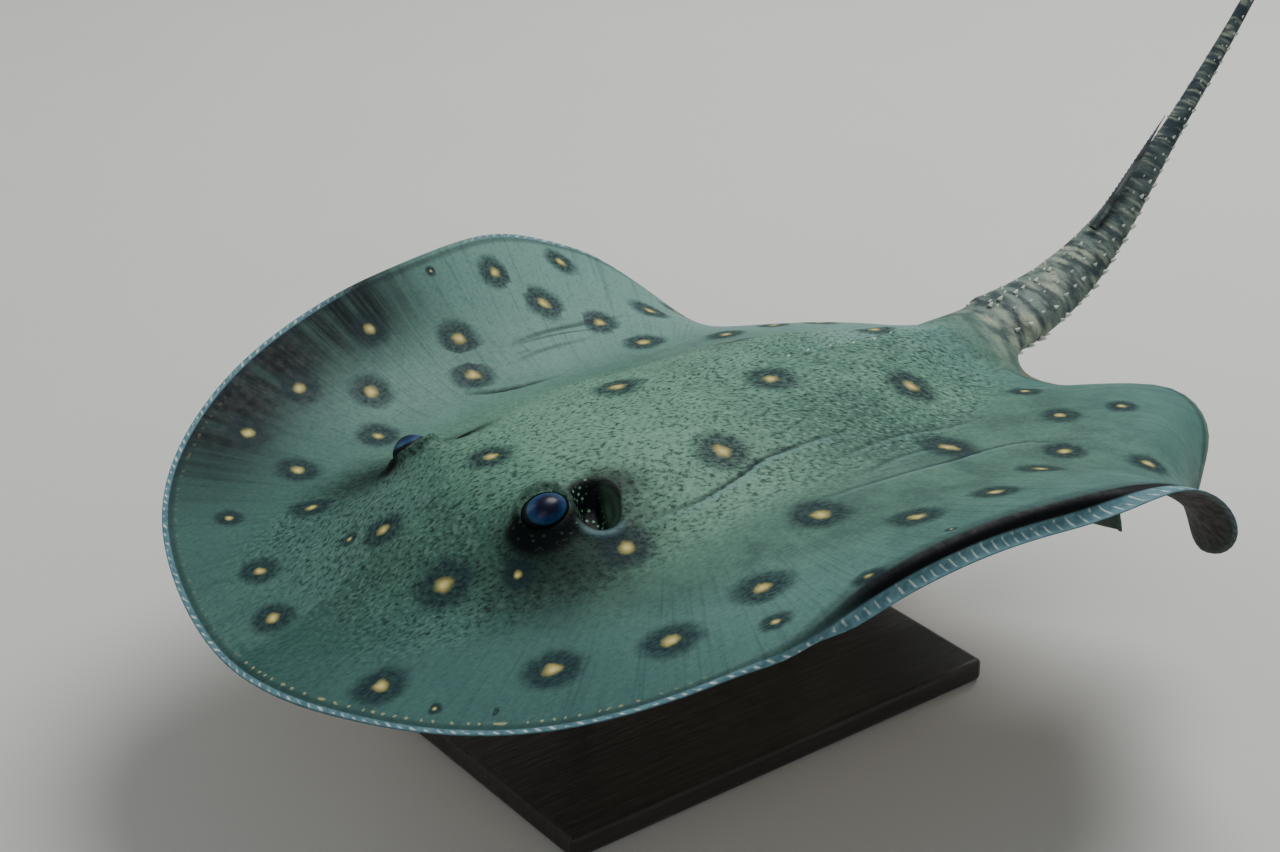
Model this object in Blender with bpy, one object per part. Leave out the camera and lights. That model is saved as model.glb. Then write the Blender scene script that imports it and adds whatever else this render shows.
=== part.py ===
"""Ocellate river stingray, swimming, as a life-size figure on a low display stand.

The body is modelled flat first, as if it lay on a table, and every piece is then carried
through one pose. The fins bend along ribs that run out from the middle of the disc, and
the tail bends upward. A length along a rib or along the tail stays what it was.

Frame: metres, Z up, the snout toward -Y, the tail toward +Y, the animal's left at +X.
The origin is the middle of the stand's underside.
"""

import math

import bmesh
import bpy
import numpy as np
from mathutils import Matrix, Vector
from mathutils.bvhtree import BVHTree

# Disc, as a flat outline
DISC_HALF_WIDTH = 0.1875
DISC_HALF_LENGTH = 0.2025
OUTLINE_POWER = 2.12            # 2 would be an ellipse
SNOUT_BUMP = 0.002
REAR_LOBE_SWELL = 0.165         # share of the radius
REAR_CORNER = 0.034             # more of it, at the corner beside the tail
TAIL_NOTCH = 0.052

# Flesh, as heights above and below the middle of the fin, by the place along the body
RIM_HALF_THICKNESS = 0.0014
FIN_CROWN = 0.0044              # what the fin gains toward the middle of the disc
BACK_HEIGHT = [(-0.205, 0.0000), (-0.168, 0.0020), (-0.146, 0.0072), (-0.122, 0.0172), (-0.098, 0.0250),
               (-0.072, 0.0278), (-0.030, 0.0275), (0.010, 0.0262), (0.070, 0.0215),
               (0.115, 0.0165), (0.150, 0.0125)]
BACK_HALF_WIDTH = [(-0.205, 0.050), (-0.125, 0.054), (-0.080, 0.062), (-0.020, 0.076),
                   (0.050, 0.066), (0.100, 0.042), (0.150, 0.0205)]
BELLY_DEPTH = [(-0.205, 0.0000), (-0.150, 0.0030), (-0.100, 0.0080), (-0.040, 0.0115),
               (0.040, 0.0125), (0.100, 0.0095), (0.150, 0.0065)]

# Where the fins are parted from the head and trunk
CORE_HALF_WIDTH = 0.086
CORE_HALF_LENGTH = 0.168
CORE_MIDDLE_Y = -0.022
TAIL_STRIP_HALF_WIDTH = 0.0285
NECK_Y = -0.020

# Eyes and spiracles
EYE_AT = (0.0435, -0.0925)
EYE_RADII = (0.0076, 0.0088, 0.0067)
EYE_SUNK = 0.0048
EYE_MOUND = 0.0088
SPIRACLE_AT = (0.0460, -0.0695)
SPIRACLE_DIP = 0.0060

# Tail: sections of (distance behind its root, half width, half height)
TAIL_ROOT_Y = 0.150
TAIL_AXIS_Z = 0.0040
TAIL_LENGTH = 0.330
TAIL_FREE = 0.012               # distance where it is clear of the disc
TAIL_SECTIONS = [(0.000, 0.0235, 0.0125), (0.040, 0.0185, 0.0110), (0.082, 0.0126, 0.0086),
                 (0.106, 0.0094, 0.0066), (0.145, 0.0056, 0.0042), (0.200, 0.0035, 0.0029),
                 (0.270, 0.0022, 0.0020), (TAIL_LENGTH, 0.0009, 0.0009)]
TAIL_CUTS = (0.017, 0.090, 0.200)   # distances where the trunk, the tail's base and its middle end

# Sting and thorns
STING_ROOT = 0.096              # distance behind the tail's root
STING_LENGTH = 0.062
STING_HALF_WIDTH = 0.0023
STING_HALF_HEIGHT = 0.0011
THORN_RADIUS = 0.0013
THORN_HEIGHT = 0.0032

# Pelvic fins: a leaf below the rear of the disc
PELVIC_MIDDLE = (0.064, 0.140)
PELVIC_HALF_LENGTH = 0.044
PELVIC_HALF_WIDTH = 0.024
PELVIC_SWEEP = math.radians(27)
PELVIC_DROOP = math.tan(math.radians(36))
PELVIC_HALF_THICKNESS = 0.0015
PELVIC_CLEAR = 0.0010

# Pose: slope of the fin in degrees up, by the angle round the disc from the snout
FIN_LIFT = [(-180, 0), (-169, -4), (-158, -20), (-148, -26), (-135, -26), (-115, 17), (-100, 40), (-80, 43),
            (-60, 33), (-40, 19), (-20, 8), (0, -5), (20, -5), (40, -2), (60, 7), (80, 18), (100, 19),
            (116, 12), (130, 0), (145, 1), (158, -1), (168, -6)]
LIFT_ALONG_LEFT_RIB = (0.30, 0.72)   # share of the rib where the lift begins and is whole
LIFT_ALONG_RIGHT_RIB = (0.38, 0.85)
HEAD_ROLL = 7                   # degrees that the head's left side is up against the tail
MARGIN_CURL = [(-180, 0), (-168, 0), (-150, -10), (-130, -6), (-100, 5), (-60, 3), (0, -2), (60, 1),
               (80, 11), (100, 3), (112, -5), (118, -14), (125, -34), (131, -58), (136, -74),
               (141, -82), (147, -68), (153, -34), (159, -10), (168, 0)]
CURL_ALONG_RIB = (0.78, 0.97)
CURL_DRAWN_IN = 0.045            # share by which the rear left margin's curl lies nearer the middle
FOLD_DEPTH = 104                # degrees that the left margin is turned under
FOLD_START = (46, 64)
FOLD_END = (98, 116)
FOLD_HALF_WIDTH = 0.023         # share of the rib
TAIL_BENDS = [(45, 0.005, 0.135), (12, 0.150, TAIL_LENGTH)]
PITCH = math.radians(2.3)       # tail up
BANK = math.radians(-1.7)       # left side up

# Stand
BODY_HEIGHT = 0.104             # of the middle of the disc above the floor
BASE_SIZE = (0.150, 0.210, 0.010)
BASE_EDGE = 0.002
ROD_RADIUS = 0.0035
ROD_PLACES = {"front": -0.050, "rear": 0.065}
ROD_TOP = 0.098                 # above the floor, inside the body

GAP = 0.0004                    # between pieces that meet
SHARP_EDGE = math.radians(40)   # an edge that bends more than this is shaded sharp
COLUMNS = 72                    # round the disc
RINGS = 28                      # from the middle of the back over the rim to the middle of the belly
TAIL_RINGS = 20
RIB_STEPS = 40
FAR = 0.6                       # past the end of everything


def clear_scene():
    for thing in list(bpy.data.objects):
        bpy.data.objects.remove(thing, do_unlink=True)


# Curves and outlines

def eased(value, start, end):
    """Rise from 0 at start to 1 at end, level at both."""
    t = np.clip((value - start) / (end - start), 0.0, 1.0)
    return t * t * (3.0 - 2.0 * t)


def curve_at(keys, place, turn=None):
    """Read a smooth curve through (place, value) keys. With turn, it repeats after that much."""
    places, values = np.array(keys, dtype=float).T
    if turn:
        places = np.concatenate([places - turn, places, places + turn])
        values = np.tile(values, 3)
    slopes = np.gradient(values, places)
    left = np.clip(np.searchsorted(places, place, side="right") - 1, 0, len(places) - 2)
    span = places[left + 1] - places[left]
    t = np.clip((place - places[left]) / span, 0.0, 1.0)
    start = (2 * t**3 - 3 * t**2 + 1) * values[left] + (t**3 - 2 * t**2 + t) * span * slopes[left]
    end = (3 * t**2 - 2 * t**3) * values[left + 1] + (t**3 - t**2) * span * slopes[left + 1]
    return start + end


def disc_radius(angle):
    """Reach of the flat disc at an angle in degrees, 0 at the snout and 90 at the animal's left."""
    across = np.abs(np.sin(np.radians(angle))) / DISC_HALF_WIDTH
    along = np.abs(np.cos(np.radians(angle))) / DISC_HALF_LENGTH
    radius = (across**OUTLINE_POWER + along**OUTLINE_POWER) ** (-1 / OUTLINE_POWER)
    from_snout = np.abs((angle + 180) % 360 - 180)
    radius = radius + SNOUT_BUMP * np.exp(-((from_snout / 10) ** 2))
    radius = radius - TAIL_NOTCH * np.exp(-(((180 - from_snout) / 16) ** 4))
    corner = REAR_CORNER * np.exp(-(((from_snout - 155) / 7.5) ** 2))
    return radius * (1 + REAR_LOBE_SWELL * np.exp(-(((from_snout - 133) / 27) ** 2)) + corner)


def polar(x, y):
    """Angle from the snout, and share of the disc's radius, of a place on the flat body."""
    angle = np.degrees(np.arctan2(x, -y))
    return angle, np.hypot(x, y) / disc_radius(angle)


# Surfaces of the flat body

def fin_half_thickness(share):
    flat = np.clip(1 - share**2, 0, 1)
    return RIM_HALF_THICKNESS * flat**0.25 + FIN_CROWN * flat


def mound(x, y, place, spread):
    """A round swelling on each side of the midline, 1 high at its place."""
    return np.exp(-(((np.abs(x) - place[0]) / spread) ** 2) - ((y - place[1]) / spread) ** 2)


def back_z(x, y, share):
    width = curve_at(BACK_HALF_WIDTH, y)
    body = curve_at(BACK_HEIGHT, y) * np.exp(-((np.abs(x) / width) ** 2.6))
    face = EYE_MOUND * mound(x, y, EYE_AT, 0.013) - SPIRACLE_DIP * mound(x, y, SPIRACLE_AT, 0.008)
    return fin_half_thickness(share) + body + face


def belly_z(x, y, share):
    width = 1.15 * curve_at(BACK_HALF_WIDTH, y)
    return -fin_half_thickness(share) - curve_at(BELLY_DEPTH, y) * np.exp(-((np.abs(x) / width) ** 3))


def tail_half_width(distance):
    return curve_at([(d, width) for d, width, height in TAIL_SECTIONS], distance)


def tail_half_height(distance):
    return curve_at([(d, height) for d, width, height in TAIL_SECTIONS], distance)


# Pose

def left_fold(angle, share):
    """Degrees that the left margin is turned down and under, before it runs out level again."""
    depth = FOLD_DEPTH * eased(angle, *FOLD_START) * (1 - eased(angle, *FOLD_END))
    middle = 1.02 - 0.05 * eased(angle, 56, 76)
    return depth * np.exp(-(((share - middle) / FOLD_HALF_WIDTH) ** 2))


def fin_slope(angle, share):
    on_left = eased(share, *LIFT_ALONG_LEFT_RIB)
    on_fin = on_left + (eased(share, *LIFT_ALONG_RIGHT_RIB) - on_left) * eased(-angle, -15, 15)
    roll = HEAD_ROLL * np.sin(np.radians(angle)) * (1 - eased(np.abs(angle), 110, 165))
    lift = curve_at(FIN_LIFT, angle, turn=360)
    drawn_in = CURL_DRAWN_IN * eased(angle, 112, 126) * (1 - eased(angle, 134, 148))
    curl = curve_at(MARGIN_CURL, angle, turn=360) * eased(share + drawn_in, *CURL_ALONG_RIB)
    return np.radians(roll * (1 - on_fin) + lift * on_fin + curl - left_fold(angle, share))


def tail_slope(distance):
    return np.radians(sum(angle * eased(distance, start, end) for angle, start, end in TAIL_BENDS))


def walk(slope_at, length):
    """Go a length along a bent line, and return how far out and how far up that leads."""
    out = np.zeros_like(length)
    up = np.zeros_like(length)
    for k in range(RIB_STEPS):
        slope = slope_at((k + 0.5) / RIB_STEPS)
        out += np.cos(slope) * length / RIB_STEPS
        up += np.sin(slope) * length / RIB_STEPS
    return out, up


def pose_disc(x, y, z):
    angle, share = polar(x, y)
    out, up = walk(lambda part: fin_slope(angle, share * part), np.hypot(x, y))
    slope = fin_slope(angle, share)
    out = out - np.sin(slope) * z
    up = up + np.cos(slope) * z
    turn = np.radians(angle)
    return np.sin(turn) * out, -np.cos(turn) * out, up


def pose_tail(x, y, z):
    distance = y - TAIL_ROOT_Y
    back, up = walk(lambda part: tail_slope(distance * part), distance)
    slope = tail_slope(distance)
    above = z - TAIL_AXIS_Z
    return x, TAIL_ROOT_Y + back - np.sin(slope) * above, TAIL_AXIS_Z + up + np.cos(slope) * above


def pose_mesh(mesh):
    """Carry the points of a piece of the flat body into the swimming pose."""
    x, y, z = np.array([vertex.co for vertex in mesh.vertices], dtype=float).T
    on_tail = (y > TAIL_ROOT_Y) & (np.abs(x) < tail_half_width(y - TAIL_ROOT_Y) + 0.003)
    posed = np.where(on_tail, pose_tail(x, y, z), pose_disc(x, y, z)).T
    for vertex, place in zip(mesh.vertices, posed):
        vertex.co = place


# Modelling helpers

def add_object(name, bm):
    mesh = bpy.data.meshes.new(name)
    bm.to_mesh(mesh)
    bm.free()
    thing = bpy.data.objects.new(name, mesh)
    bpy.context.scene.collection.objects.link(thing)
    return thing


def as_cutter(thing):
    thing.hide_render = True
    thing.display_type = "WIRE"
    return thing


def prism_cutter(name, outline, bottom, top):
    bm = bmesh.new()
    floor = bm.faces.new([bm.verts.new((x, y, bottom)) for x, y in outline])
    grown = bmesh.ops.extrude_face_region(bm, geom=[floor])["geom"]
    lid = [g for g in grown if isinstance(g, bmesh.types.BMVert)]
    bmesh.ops.translate(bm, vec=(0, 0, top - bottom), verts=lid)
    bmesh.ops.recalc_face_normals(bm, faces=bm.faces)
    return as_cutter(add_object(name, bm))


def ellipsoid(name, middle, radii):
    bm = bmesh.new()
    place = Matrix.Translation(middle) @ Matrix.Diagonal((*radii, 1.0))
    bmesh.ops.create_uvsphere(bm, u_segments=16, v_segments=10, radius=1.0, matrix=place)
    return add_object(name, bm)


def cut(thing, cutter, operation):
    modifier = thing.modifiers.new(cutter.name, "BOOLEAN")
    modifier.operation = operation
    modifier.object = cutter
    modifier.solver = "EXACT"


def bake_modifiers(thing):
    """Make the cut shape the object's own mesh, so that it can be posed."""
    bpy.context.view_layer.update()
    shaped = thing.evaluated_get(bpy.context.evaluated_depsgraph_get())
    mesh = bpy.data.meshes.new_from_object(shaped)
    thing.modifiers.clear()
    thing.data = mesh


def draw_out(bm, ring, start, sections):
    """Draw a ring of edges backward through sections of (y, middle z, half width, half height)."""
    last = start
    for section in sections:
        grown = bmesh.ops.extrude_edge_only(bm, edges=ring)["geom"]
        ring = [g for g in grown if isinstance(g, bmesh.types.BMEdge) and g.is_boundary]
        for vertex in {v for edge in ring for v in edge.verts}:
            around = math.atan2((vertex.co.z - last[1]) / last[3], vertex.co.x / last[2])
            vertex.co = (section[2] * math.cos(around), section[0],
                         section[1] + section[3] * math.sin(around))
        last = section
    bmesh.ops.holes_fill(bm, edges=ring, sides=0)
    bmesh.ops.recalc_face_normals(bm, faces=bm.faces)


# Body

def near_eye(x, y):
    return abs(abs(x) - EYE_AT[0]) < 0.026 and -0.125 < y < -0.050


def flat_disc():
    """A sphere drawn out flat: its equator is the rim of the fins."""
    bm = bmesh.new()
    bmesh.ops.create_uvsphere(bm, u_segments=COLUMNS, v_segments=RINGS, radius=1.0)
    on_face = []
    for face in bm.faces:
        middle = face.calc_center_median()
        if middle.z > 0 and near_eye(middle.x * DISC_HALF_WIDTH, middle.y * DISC_HALF_LENGTH):
            on_face += face.edges
    bmesh.ops.subdivide_edges(bm, edges=list(set(on_face)), cuts=1, use_grid_fill=True)
    sphere = np.array([vertex.co for vertex in bm.verts])
    share = np.hypot(sphere[:, 0], sphere[:, 1])
    angle = np.degrees(np.arctan2(sphere[:, 0], -sphere[:, 1]))
    reach = disc_radius(angle) * share
    x = reach * np.sin(np.radians(angle))
    y = -reach * np.cos(np.radians(angle))
    z = np.where(sphere[:, 2] > 0, back_z(x, y, share), belly_z(x, y, share))
    z = np.where(np.abs(sphere[:, 2]) < 1e-5, 0.0, z)
    for vertex, place in zip(bm.verts, np.array([x, y, z]).T):
        vertex.co = place
    return bm


def grow_tail(bm):
    """Open the rim at the notch, and draw the opening out into the tail."""
    opening = []
    for face in bm.faces:
        middle = face.calc_center_median()
        angle, share = polar(np.array([middle.x]), np.array([middle.y]))
        if abs(angle[0]) > 170 and share[0] > 0.945:
            opening.append(face)
    bmesh.ops.delete(bm, geom=opening, context="FACES")
    sections = []
    for k in range(TAIL_RINGS):
        distance = TAIL_FREE + (TAIL_LENGTH - TAIL_FREE) * (k / (TAIL_RINGS - 1)) ** 1.15
        sections.append((TAIL_ROOT_Y + distance, TAIL_AXIS_Z,
                         float(tail_half_width(distance)), float(tail_half_height(distance))))
    root = (TAIL_ROOT_Y, TAIL_AXIS_Z, TAIL_SECTIONS[0][1], TAIL_SECTIONS[0][2])
    draw_out(bm, [edge for edge in bm.edges if edge.is_boundary], root, sections)


def thorns(body):
    """Small thorns that lean back: a row along the top of the tail and one down each side."""
    rows = [(math.pi / 2, np.arange(0.014, 0.086, 0.0105))]
    rows += [(math.radians(around), np.arange(0.022, 0.180, 0.0125)) for around in (24, 156)]
    surface = BVHTree.FromBMesh(body)
    bm = bmesh.new()
    for around, distances in rows:
        out = Vector((math.cos(around), 0, math.sin(around)))
        for distance in distances:
            axis = Vector((0, TAIL_ROOT_Y + distance, TAIL_AXIS_Z))
            place, normal = surface.ray_cast(axis + out * 0.1, -out)[:2]
            size = 0.45 + 0.55 * (1 - distance / 0.20)
            lean = (normal + Vector((0, 0.7, 0))).normalized()
            middle = place + lean * THORN_HEIGHT * size * 0.22
            turn = lean.to_track_quat("Z", "Y").to_matrix().to_4x4()
            bmesh.ops.create_cone(bm, cap_ends=True, segments=5, radius1=THORN_RADIUS * size,
                                  radius2=0.0, depth=THORN_HEIGHT * size,
                                  matrix=Matrix.Translation(middle) @ turn)
    return as_cutter(add_object("thorns", bm))


def whole_body():
    """The body in one piece, posed."""
    bm = flat_disc()
    grow_tail(bm)
    spines = thorns(bm)
    body = as_cutter(add_object("whole_body", bm))
    cut(body, spines, "UNION")
    bake_modifiers(body)
    pose_mesh(body.data)
    return body


def core_side(grown):
    """Left side of the outline of head, trunk and tail from above, from the snout back."""
    half_width = CORE_HALF_WIDTH + grown
    half_length = CORE_HALF_LENGTH + grown
    strip = TAIL_STRIP_HALF_WIDTH + grown
    side = []
    for k in range(24):
        turn = math.pi * k / 24
        x = half_width * math.sin(turn)
        y = CORE_MIDDLE_Y - half_length * math.cos(turn)
        if y < CORE_MIDDLE_Y or x > strip:
            side.append((x, y))
    return side + [(strip, CORE_MIDDLE_Y + half_length), (strip, FAR)]


def tail_frame(distance):
    """A frame on the posed tail's axis, its Y pointing along the tail."""
    axis = [np.array([value]) for value in (0.0, TAIL_ROOT_Y + distance, TAIL_AXIS_Z)]
    place = Vector([float(value[0]) for value in pose_tail(*axis)])
    return Matrix.Translation(place) @ Matrix.Rotation(float(tail_slope(distance)), 4, "X")


def behind(name, frame, shift):
    """A block that takes up all behind a frame's XZ plane."""
    bm = bmesh.new()
    bmesh.ops.create_cube(bm, size=2 * FAR, matrix=frame @ Matrix.Translation((0, FAR + shift, 0)))
    return as_cutter(add_object(name, bm))


def part_from(body, name, cuts):
    part = bpy.data.objects.new(name, body.data.copy())
    bpy.context.scene.collection.objects.link(part)
    for cutter, operation in cuts:
        cut(part, cutter, operation)
    bake_modifiers(part)
    return part


def part_body(body):
    """Part the body with thin cuts into head, trunk, two fins and three lengths of tail."""
    side = core_side(-GAP / 2)
    core = prism_cutter("core", side + [(-x, y) for x, y in reversed(side[1:])], -FAR, FAR)
    names = ["head", "trunk", "tail_base", "tail_middle", "tail_tip"]
    frames = [Matrix.Translation((0, NECK_Y, 0))] + [tail_frame(distance) for distance in TAIL_CUTS]
    starts = [None] + [behind("behind_start_%d" % k, frame, GAP / 2) for k, frame in enumerate(frames)]
    ends = [behind("behind_end_%d" % k, frame, -GAP / 2) for k, frame in enumerate(frames)] + [None]
    parts = {}
    for name, start, end in zip(names, starts, ends):
        cuts = [(core, "INTERSECT"), (start, "INTERSECT"), (end, "DIFFERENCE")]
        parts[name] = part_from(body, name, [(cutter, how) for cutter, how in cuts if cutter])
    side = core_side(GAP / 2)
    beside = [(GAP / 2, -FAR), (GAP / 2, side[0][1]), *side[1:], (FAR, FAR), (FAR, -FAR)]
    for name, sign in (("pectoral_fin_left", 1), ("pectoral_fin_right", -1)):
        region = prism_cutter(name + "_region", [(sign * x, y) for x, y in beside], -FAR, FAR)
        parts[name] = part_from(body, name, [(region, "INTERSECT")])
    return parts


def add_eyes(head):
    """An eyeball on each side, in a socket cut into its mound on the head."""
    x = np.array([EYE_AT[0]])
    y = np.array([EYE_AT[1]])
    height = float(back_z(x, y, polar(x, y)[1])[0]) - EYE_SUNK
    eyes = {}
    for name, side in (("eye_left", 1), ("eye_right", -1)):
        middle = (side * (EYE_AT[0] + 0.0015), EYE_AT[1], height)
        socket = as_cutter(ellipsoid(name + "_socket", middle, [radius + GAP for radius in EYE_RADII]))
        pose_mesh(socket.data)
        cut(head, socket, "DIFFERENCE")
        eyes[name] = ellipsoid(name, middle, EYE_RADII)
        pose_mesh(eyes[name].data)
    bake_modifiers(head)
    return eyes


def pelvic_fin(name, side):
    """A leaf that springs from the belly and hangs clear of the disc's underside."""
    bm = bmesh.new()
    bmesh.ops.create_uvsphere(bm, u_segments=20, v_segments=8, radius=1.0)
    sphere = np.array([vertex.co for vertex in bm.verts])
    along = sphere[:, 0] * PELVIC_HALF_LENGTH
    across = sphere[:, 1] * PELVIC_HALF_WIDTH * (1 - 0.4 * sphere[:, 0])
    x = PELVIC_MIDDLE[0] + along * math.cos(PELVIC_SWEEP) - across * math.sin(PELVIC_SWEEP)
    y = PELVIC_MIDDLE[1] + along * math.sin(PELVIC_SWEEP) + across * math.cos(PELVIC_SWEEP)
    from_root = np.clip(x - TAIL_STRIP_HALF_WIDTH, 0, None)
    droop = PELVIC_DROOP * from_root**2 / (from_root + 0.015)
    z = belly_z(x, y, polar(x, y)[1]) - PELVIC_CLEAR - droop - PELVIC_HALF_THICKNESS * (1 - sphere[:, 2])
    for vertex, place in zip(bm.verts, np.array([side * x, y, z]).T):
        vertex.co = place
    if side < 0:
        bmesh.ops.reverse_faces(bm, faces=bm.faces)
    fin = add_object(name, bm)
    pose_mesh(fin.data)
    return fin


def add_sting():
    """A flat blade that starts on the tail and points back, clear of it at the tip."""
    height = TAIL_AXIS_Z + float(tail_half_height(STING_ROOT)) + GAP + STING_HALF_HEIGHT
    sections = []
    for share, size in ((0.00, 1.00), (0.25, 0.95), (0.50, 0.80), (0.75, 0.56), (0.92, 0.26), (1.00, 0.05)):
        sections.append((TAIL_ROOT_Y + STING_ROOT + STING_LENGTH * share, height,
                         STING_HALF_WIDTH * size, STING_HALF_HEIGHT * size))
    bm = bmesh.new()
    bmesh.ops.create_circle(bm, cap_ends=True, segments=8, radius=1.0)
    for vertex in bm.verts:
        vertex.co = (STING_HALF_WIDTH * vertex.co.x, sections[0][0],
                     height + STING_HALF_HEIGHT * vertex.co.y)
    draw_out(bm, list(bm.edges), sections[0], sections[1:])
    sting = add_object("sting", bm)
    pose_mesh(sting.data)
    return sting


# Stand

def add_stand_base():
    bm = bmesh.new()
    size = Matrix.Diagonal((*BASE_SIZE, 1.0))
    bmesh.ops.create_cube(bm, size=1.0, matrix=Matrix.Translation((0, 0, BASE_SIZE[2] / 2)) @ size)
    base = add_object("stand_base", bm)
    edge = base.modifiers.new("edge", "BEVEL")
    edge.width = BASE_EDGE
    edge.segments = 2
    return base


def add_rod(place, radius, bottom, top):
    bm = bmesh.new()
    bmesh.ops.create_cone(bm, cap_ends=True, segments=20, radius1=radius, radius2=radius, depth=top - bottom)
    rod = add_object("stand_rod_" + place, bm)
    rod.location = (0, ROD_PLACES[place], (bottom + top) / 2)
    return rod


def add_stand(carried):
    """A flat base, and two rods that rise into sockets in the belly of the pieces they carry."""
    stand = {"stand_base": add_stand_base()}
    for place, piece in carried.items():
        socket = as_cutter(add_rod(place, ROD_RADIUS + GAP, BASE_SIZE[2], ROD_TOP + GAP))
        socket.name = "rod_socket_" + place
        cut(piece, socket, "DIFFERENCE")
        rod = add_rod(place, ROD_RADIUS, BASE_SIZE[2] + GAP, ROD_TOP)
        stand[rod.name] = rod
    return stand


# Finish

def finish(name, colour, roughness, metallic=0.0):
    material = bpy.data.materials.new(name)
    material.use_nodes = True
    shader = material.node_tree.nodes["Principled BSDF"]
    shader.inputs["Base Color"].default_value = (*colour, 1.0)
    shader.inputs["Roughness"].default_value = roughness
    shader.inputs["Metallic"].default_value = metallic
    return material


def colour_of(name):
    if name.startswith("eye"):
        return finish(name, (0.02, 0.05, 0.12), 0.1)
    if name == "sting":
        return finish(name, (0.35, 0.36, 0.33), 0.5)
    if name == "stand_base":
        return finish(name, (0.03, 0.03, 0.035), 0.5)
    if name.startswith("stand_rod"):
        return finish(name, (0.55, 0.55, 0.56), 0.35, 1.0)
    return finish(name, (0.13, 0.19, 0.165), 0.45)


def main():
    clear_scene()
    swimmer = bpy.data.objects.new("swimmer", None)
    bpy.context.scene.collection.objects.link(swimmer)
    swimmer.location = (0, 0, BODY_HEIGHT)
    swimmer.rotation_euler = (PITCH, BANK, 0)

    pieces = part_body(whole_body())
    pieces.update(add_eyes(pieces["head"]))
    pieces["pelvic_fin_left"] = pelvic_fin("pelvic_fin_left", 1)
    pieces["pelvic_fin_right"] = pelvic_fin("pelvic_fin_right", -1)
    pieces["sting"] = add_sting()
    for piece in pieces.values():
        piece.parent = swimmer

    pieces.update(add_stand({"front": pieces["head"], "rear": pieces["trunk"]}))
    for name, piece in pieces.items():
        piece.data.shade_smooth()
        piece.data.set_sharp_from_angle(angle=SHARP_EDGE)
        piece.data.materials.clear()
        piece.data.materials.append(colour_of(name))


if __name__ == "__main__":
    main()
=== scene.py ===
import math

import bmesh
import bpy
import numpy as np
from mathutils import Euler, Matrix, Vector
from mathutils.bvhtree import BVHTree


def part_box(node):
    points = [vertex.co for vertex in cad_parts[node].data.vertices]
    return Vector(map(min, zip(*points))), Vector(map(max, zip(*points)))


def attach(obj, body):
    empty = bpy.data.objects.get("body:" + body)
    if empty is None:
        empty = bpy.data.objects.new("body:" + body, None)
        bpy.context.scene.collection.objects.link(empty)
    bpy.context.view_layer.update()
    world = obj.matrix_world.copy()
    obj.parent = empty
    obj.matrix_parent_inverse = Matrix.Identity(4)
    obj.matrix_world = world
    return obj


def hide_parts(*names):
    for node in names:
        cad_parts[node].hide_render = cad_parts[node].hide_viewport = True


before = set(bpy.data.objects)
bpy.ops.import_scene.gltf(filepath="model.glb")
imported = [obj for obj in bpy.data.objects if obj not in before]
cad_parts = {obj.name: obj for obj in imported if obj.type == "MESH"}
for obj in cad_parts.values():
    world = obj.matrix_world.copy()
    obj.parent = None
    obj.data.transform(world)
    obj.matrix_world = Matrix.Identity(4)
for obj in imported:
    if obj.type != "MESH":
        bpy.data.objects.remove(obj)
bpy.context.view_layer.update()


# ---------------- Skin: the flat body
# The stingray's whole skin is one closed shell of soft, moist skin over the muscles of head,
# trunk, fins and tail. It is shaped flat, as the animal would lie on a table: a sphere is
# pressed into the disc, the rim is opened at the notch, and the tail is drawn out of it.

DISC_HALF_WIDTH = 0.1875
DISC_HALF_LENGTH = 0.2025
RIM_HALF_THICKNESS = 0.0012
FIN_CROWN = 0.0044
BACK_HEIGHT = [(-0.205, 0.0), (-0.168, 0.002), (-0.146, 0.0072), (-0.122, 0.0172),
               (-0.098, 0.025), (-0.072, 0.0278), (-0.03, 0.0275), (0.01, 0.0262),
               (0.07, 0.0215), (0.115, 0.0165), (0.15, 0.0125)]
BACK_HALF_WIDTH = [(-0.205, 0.05), (-0.125, 0.054), (-0.08, 0.062), (-0.02, 0.076),
                   (0.05, 0.066), (0.1, 0.042), (0.15, 0.0205)]
BELLY_DEPTH = [(-0.205, 0.0), (-0.15, 0.003), (-0.1, 0.008), (-0.04, 0.0115),
               (0.04, 0.0125), (0.1, 0.0095), (0.15, 0.0065)]
EYE_MOUND_AT = (0.0435, -0.0925)
EYE_MOUND = 0.0088
EYE_X = 0.045
EYE_RADII = (0.0076, 0.0088, 0.0067)
EYE_SUNK = 0.0048
SPIRACLE_AT = (0.05, -0.0732)
SPIRACLE_HALF_WIDTH = 0.0118        # across, toward the outside and forward
SPIRACLE_HALF_LENGTH = 0.0092
SPIRACLE_DEPTH = 0.0085
TAIL_ROOT_Y = 0.15
TAIL_AXIS_Z = 0.004
TAIL_LENGTH = 0.33
TAIL_FREE = 0.012
TAIL_SECTIONS = [(0.0, 0.0235, 0.0125), (0.04, 0.0185, 0.011), (0.082, 0.0126, 0.0086),
                 (0.106, 0.0094, 0.0066), (0.145, 0.0056, 0.0042), (0.2, 0.0035, 0.0029),
                 (0.27, 0.0022, 0.002), (TAIL_LENGTH, 0.0009, 0.0009)]


def eased(value, start, end):
    """Rise from 0 at start to 1 at end, level at both."""
    t = np.clip((value - start) / (end - start), 0.0, 1.0)
    return t * t * (3.0 - 2.0 * t)


def level(value, start, full, fading, end):
    """Rise from 0 to 1 and fall to 0 again."""
    return eased(value, start, full) * (1 - eased(value, fading, end))


def bell(value, middle, spread):
    return np.exp(-(((value - middle) / spread) ** 2))


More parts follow.
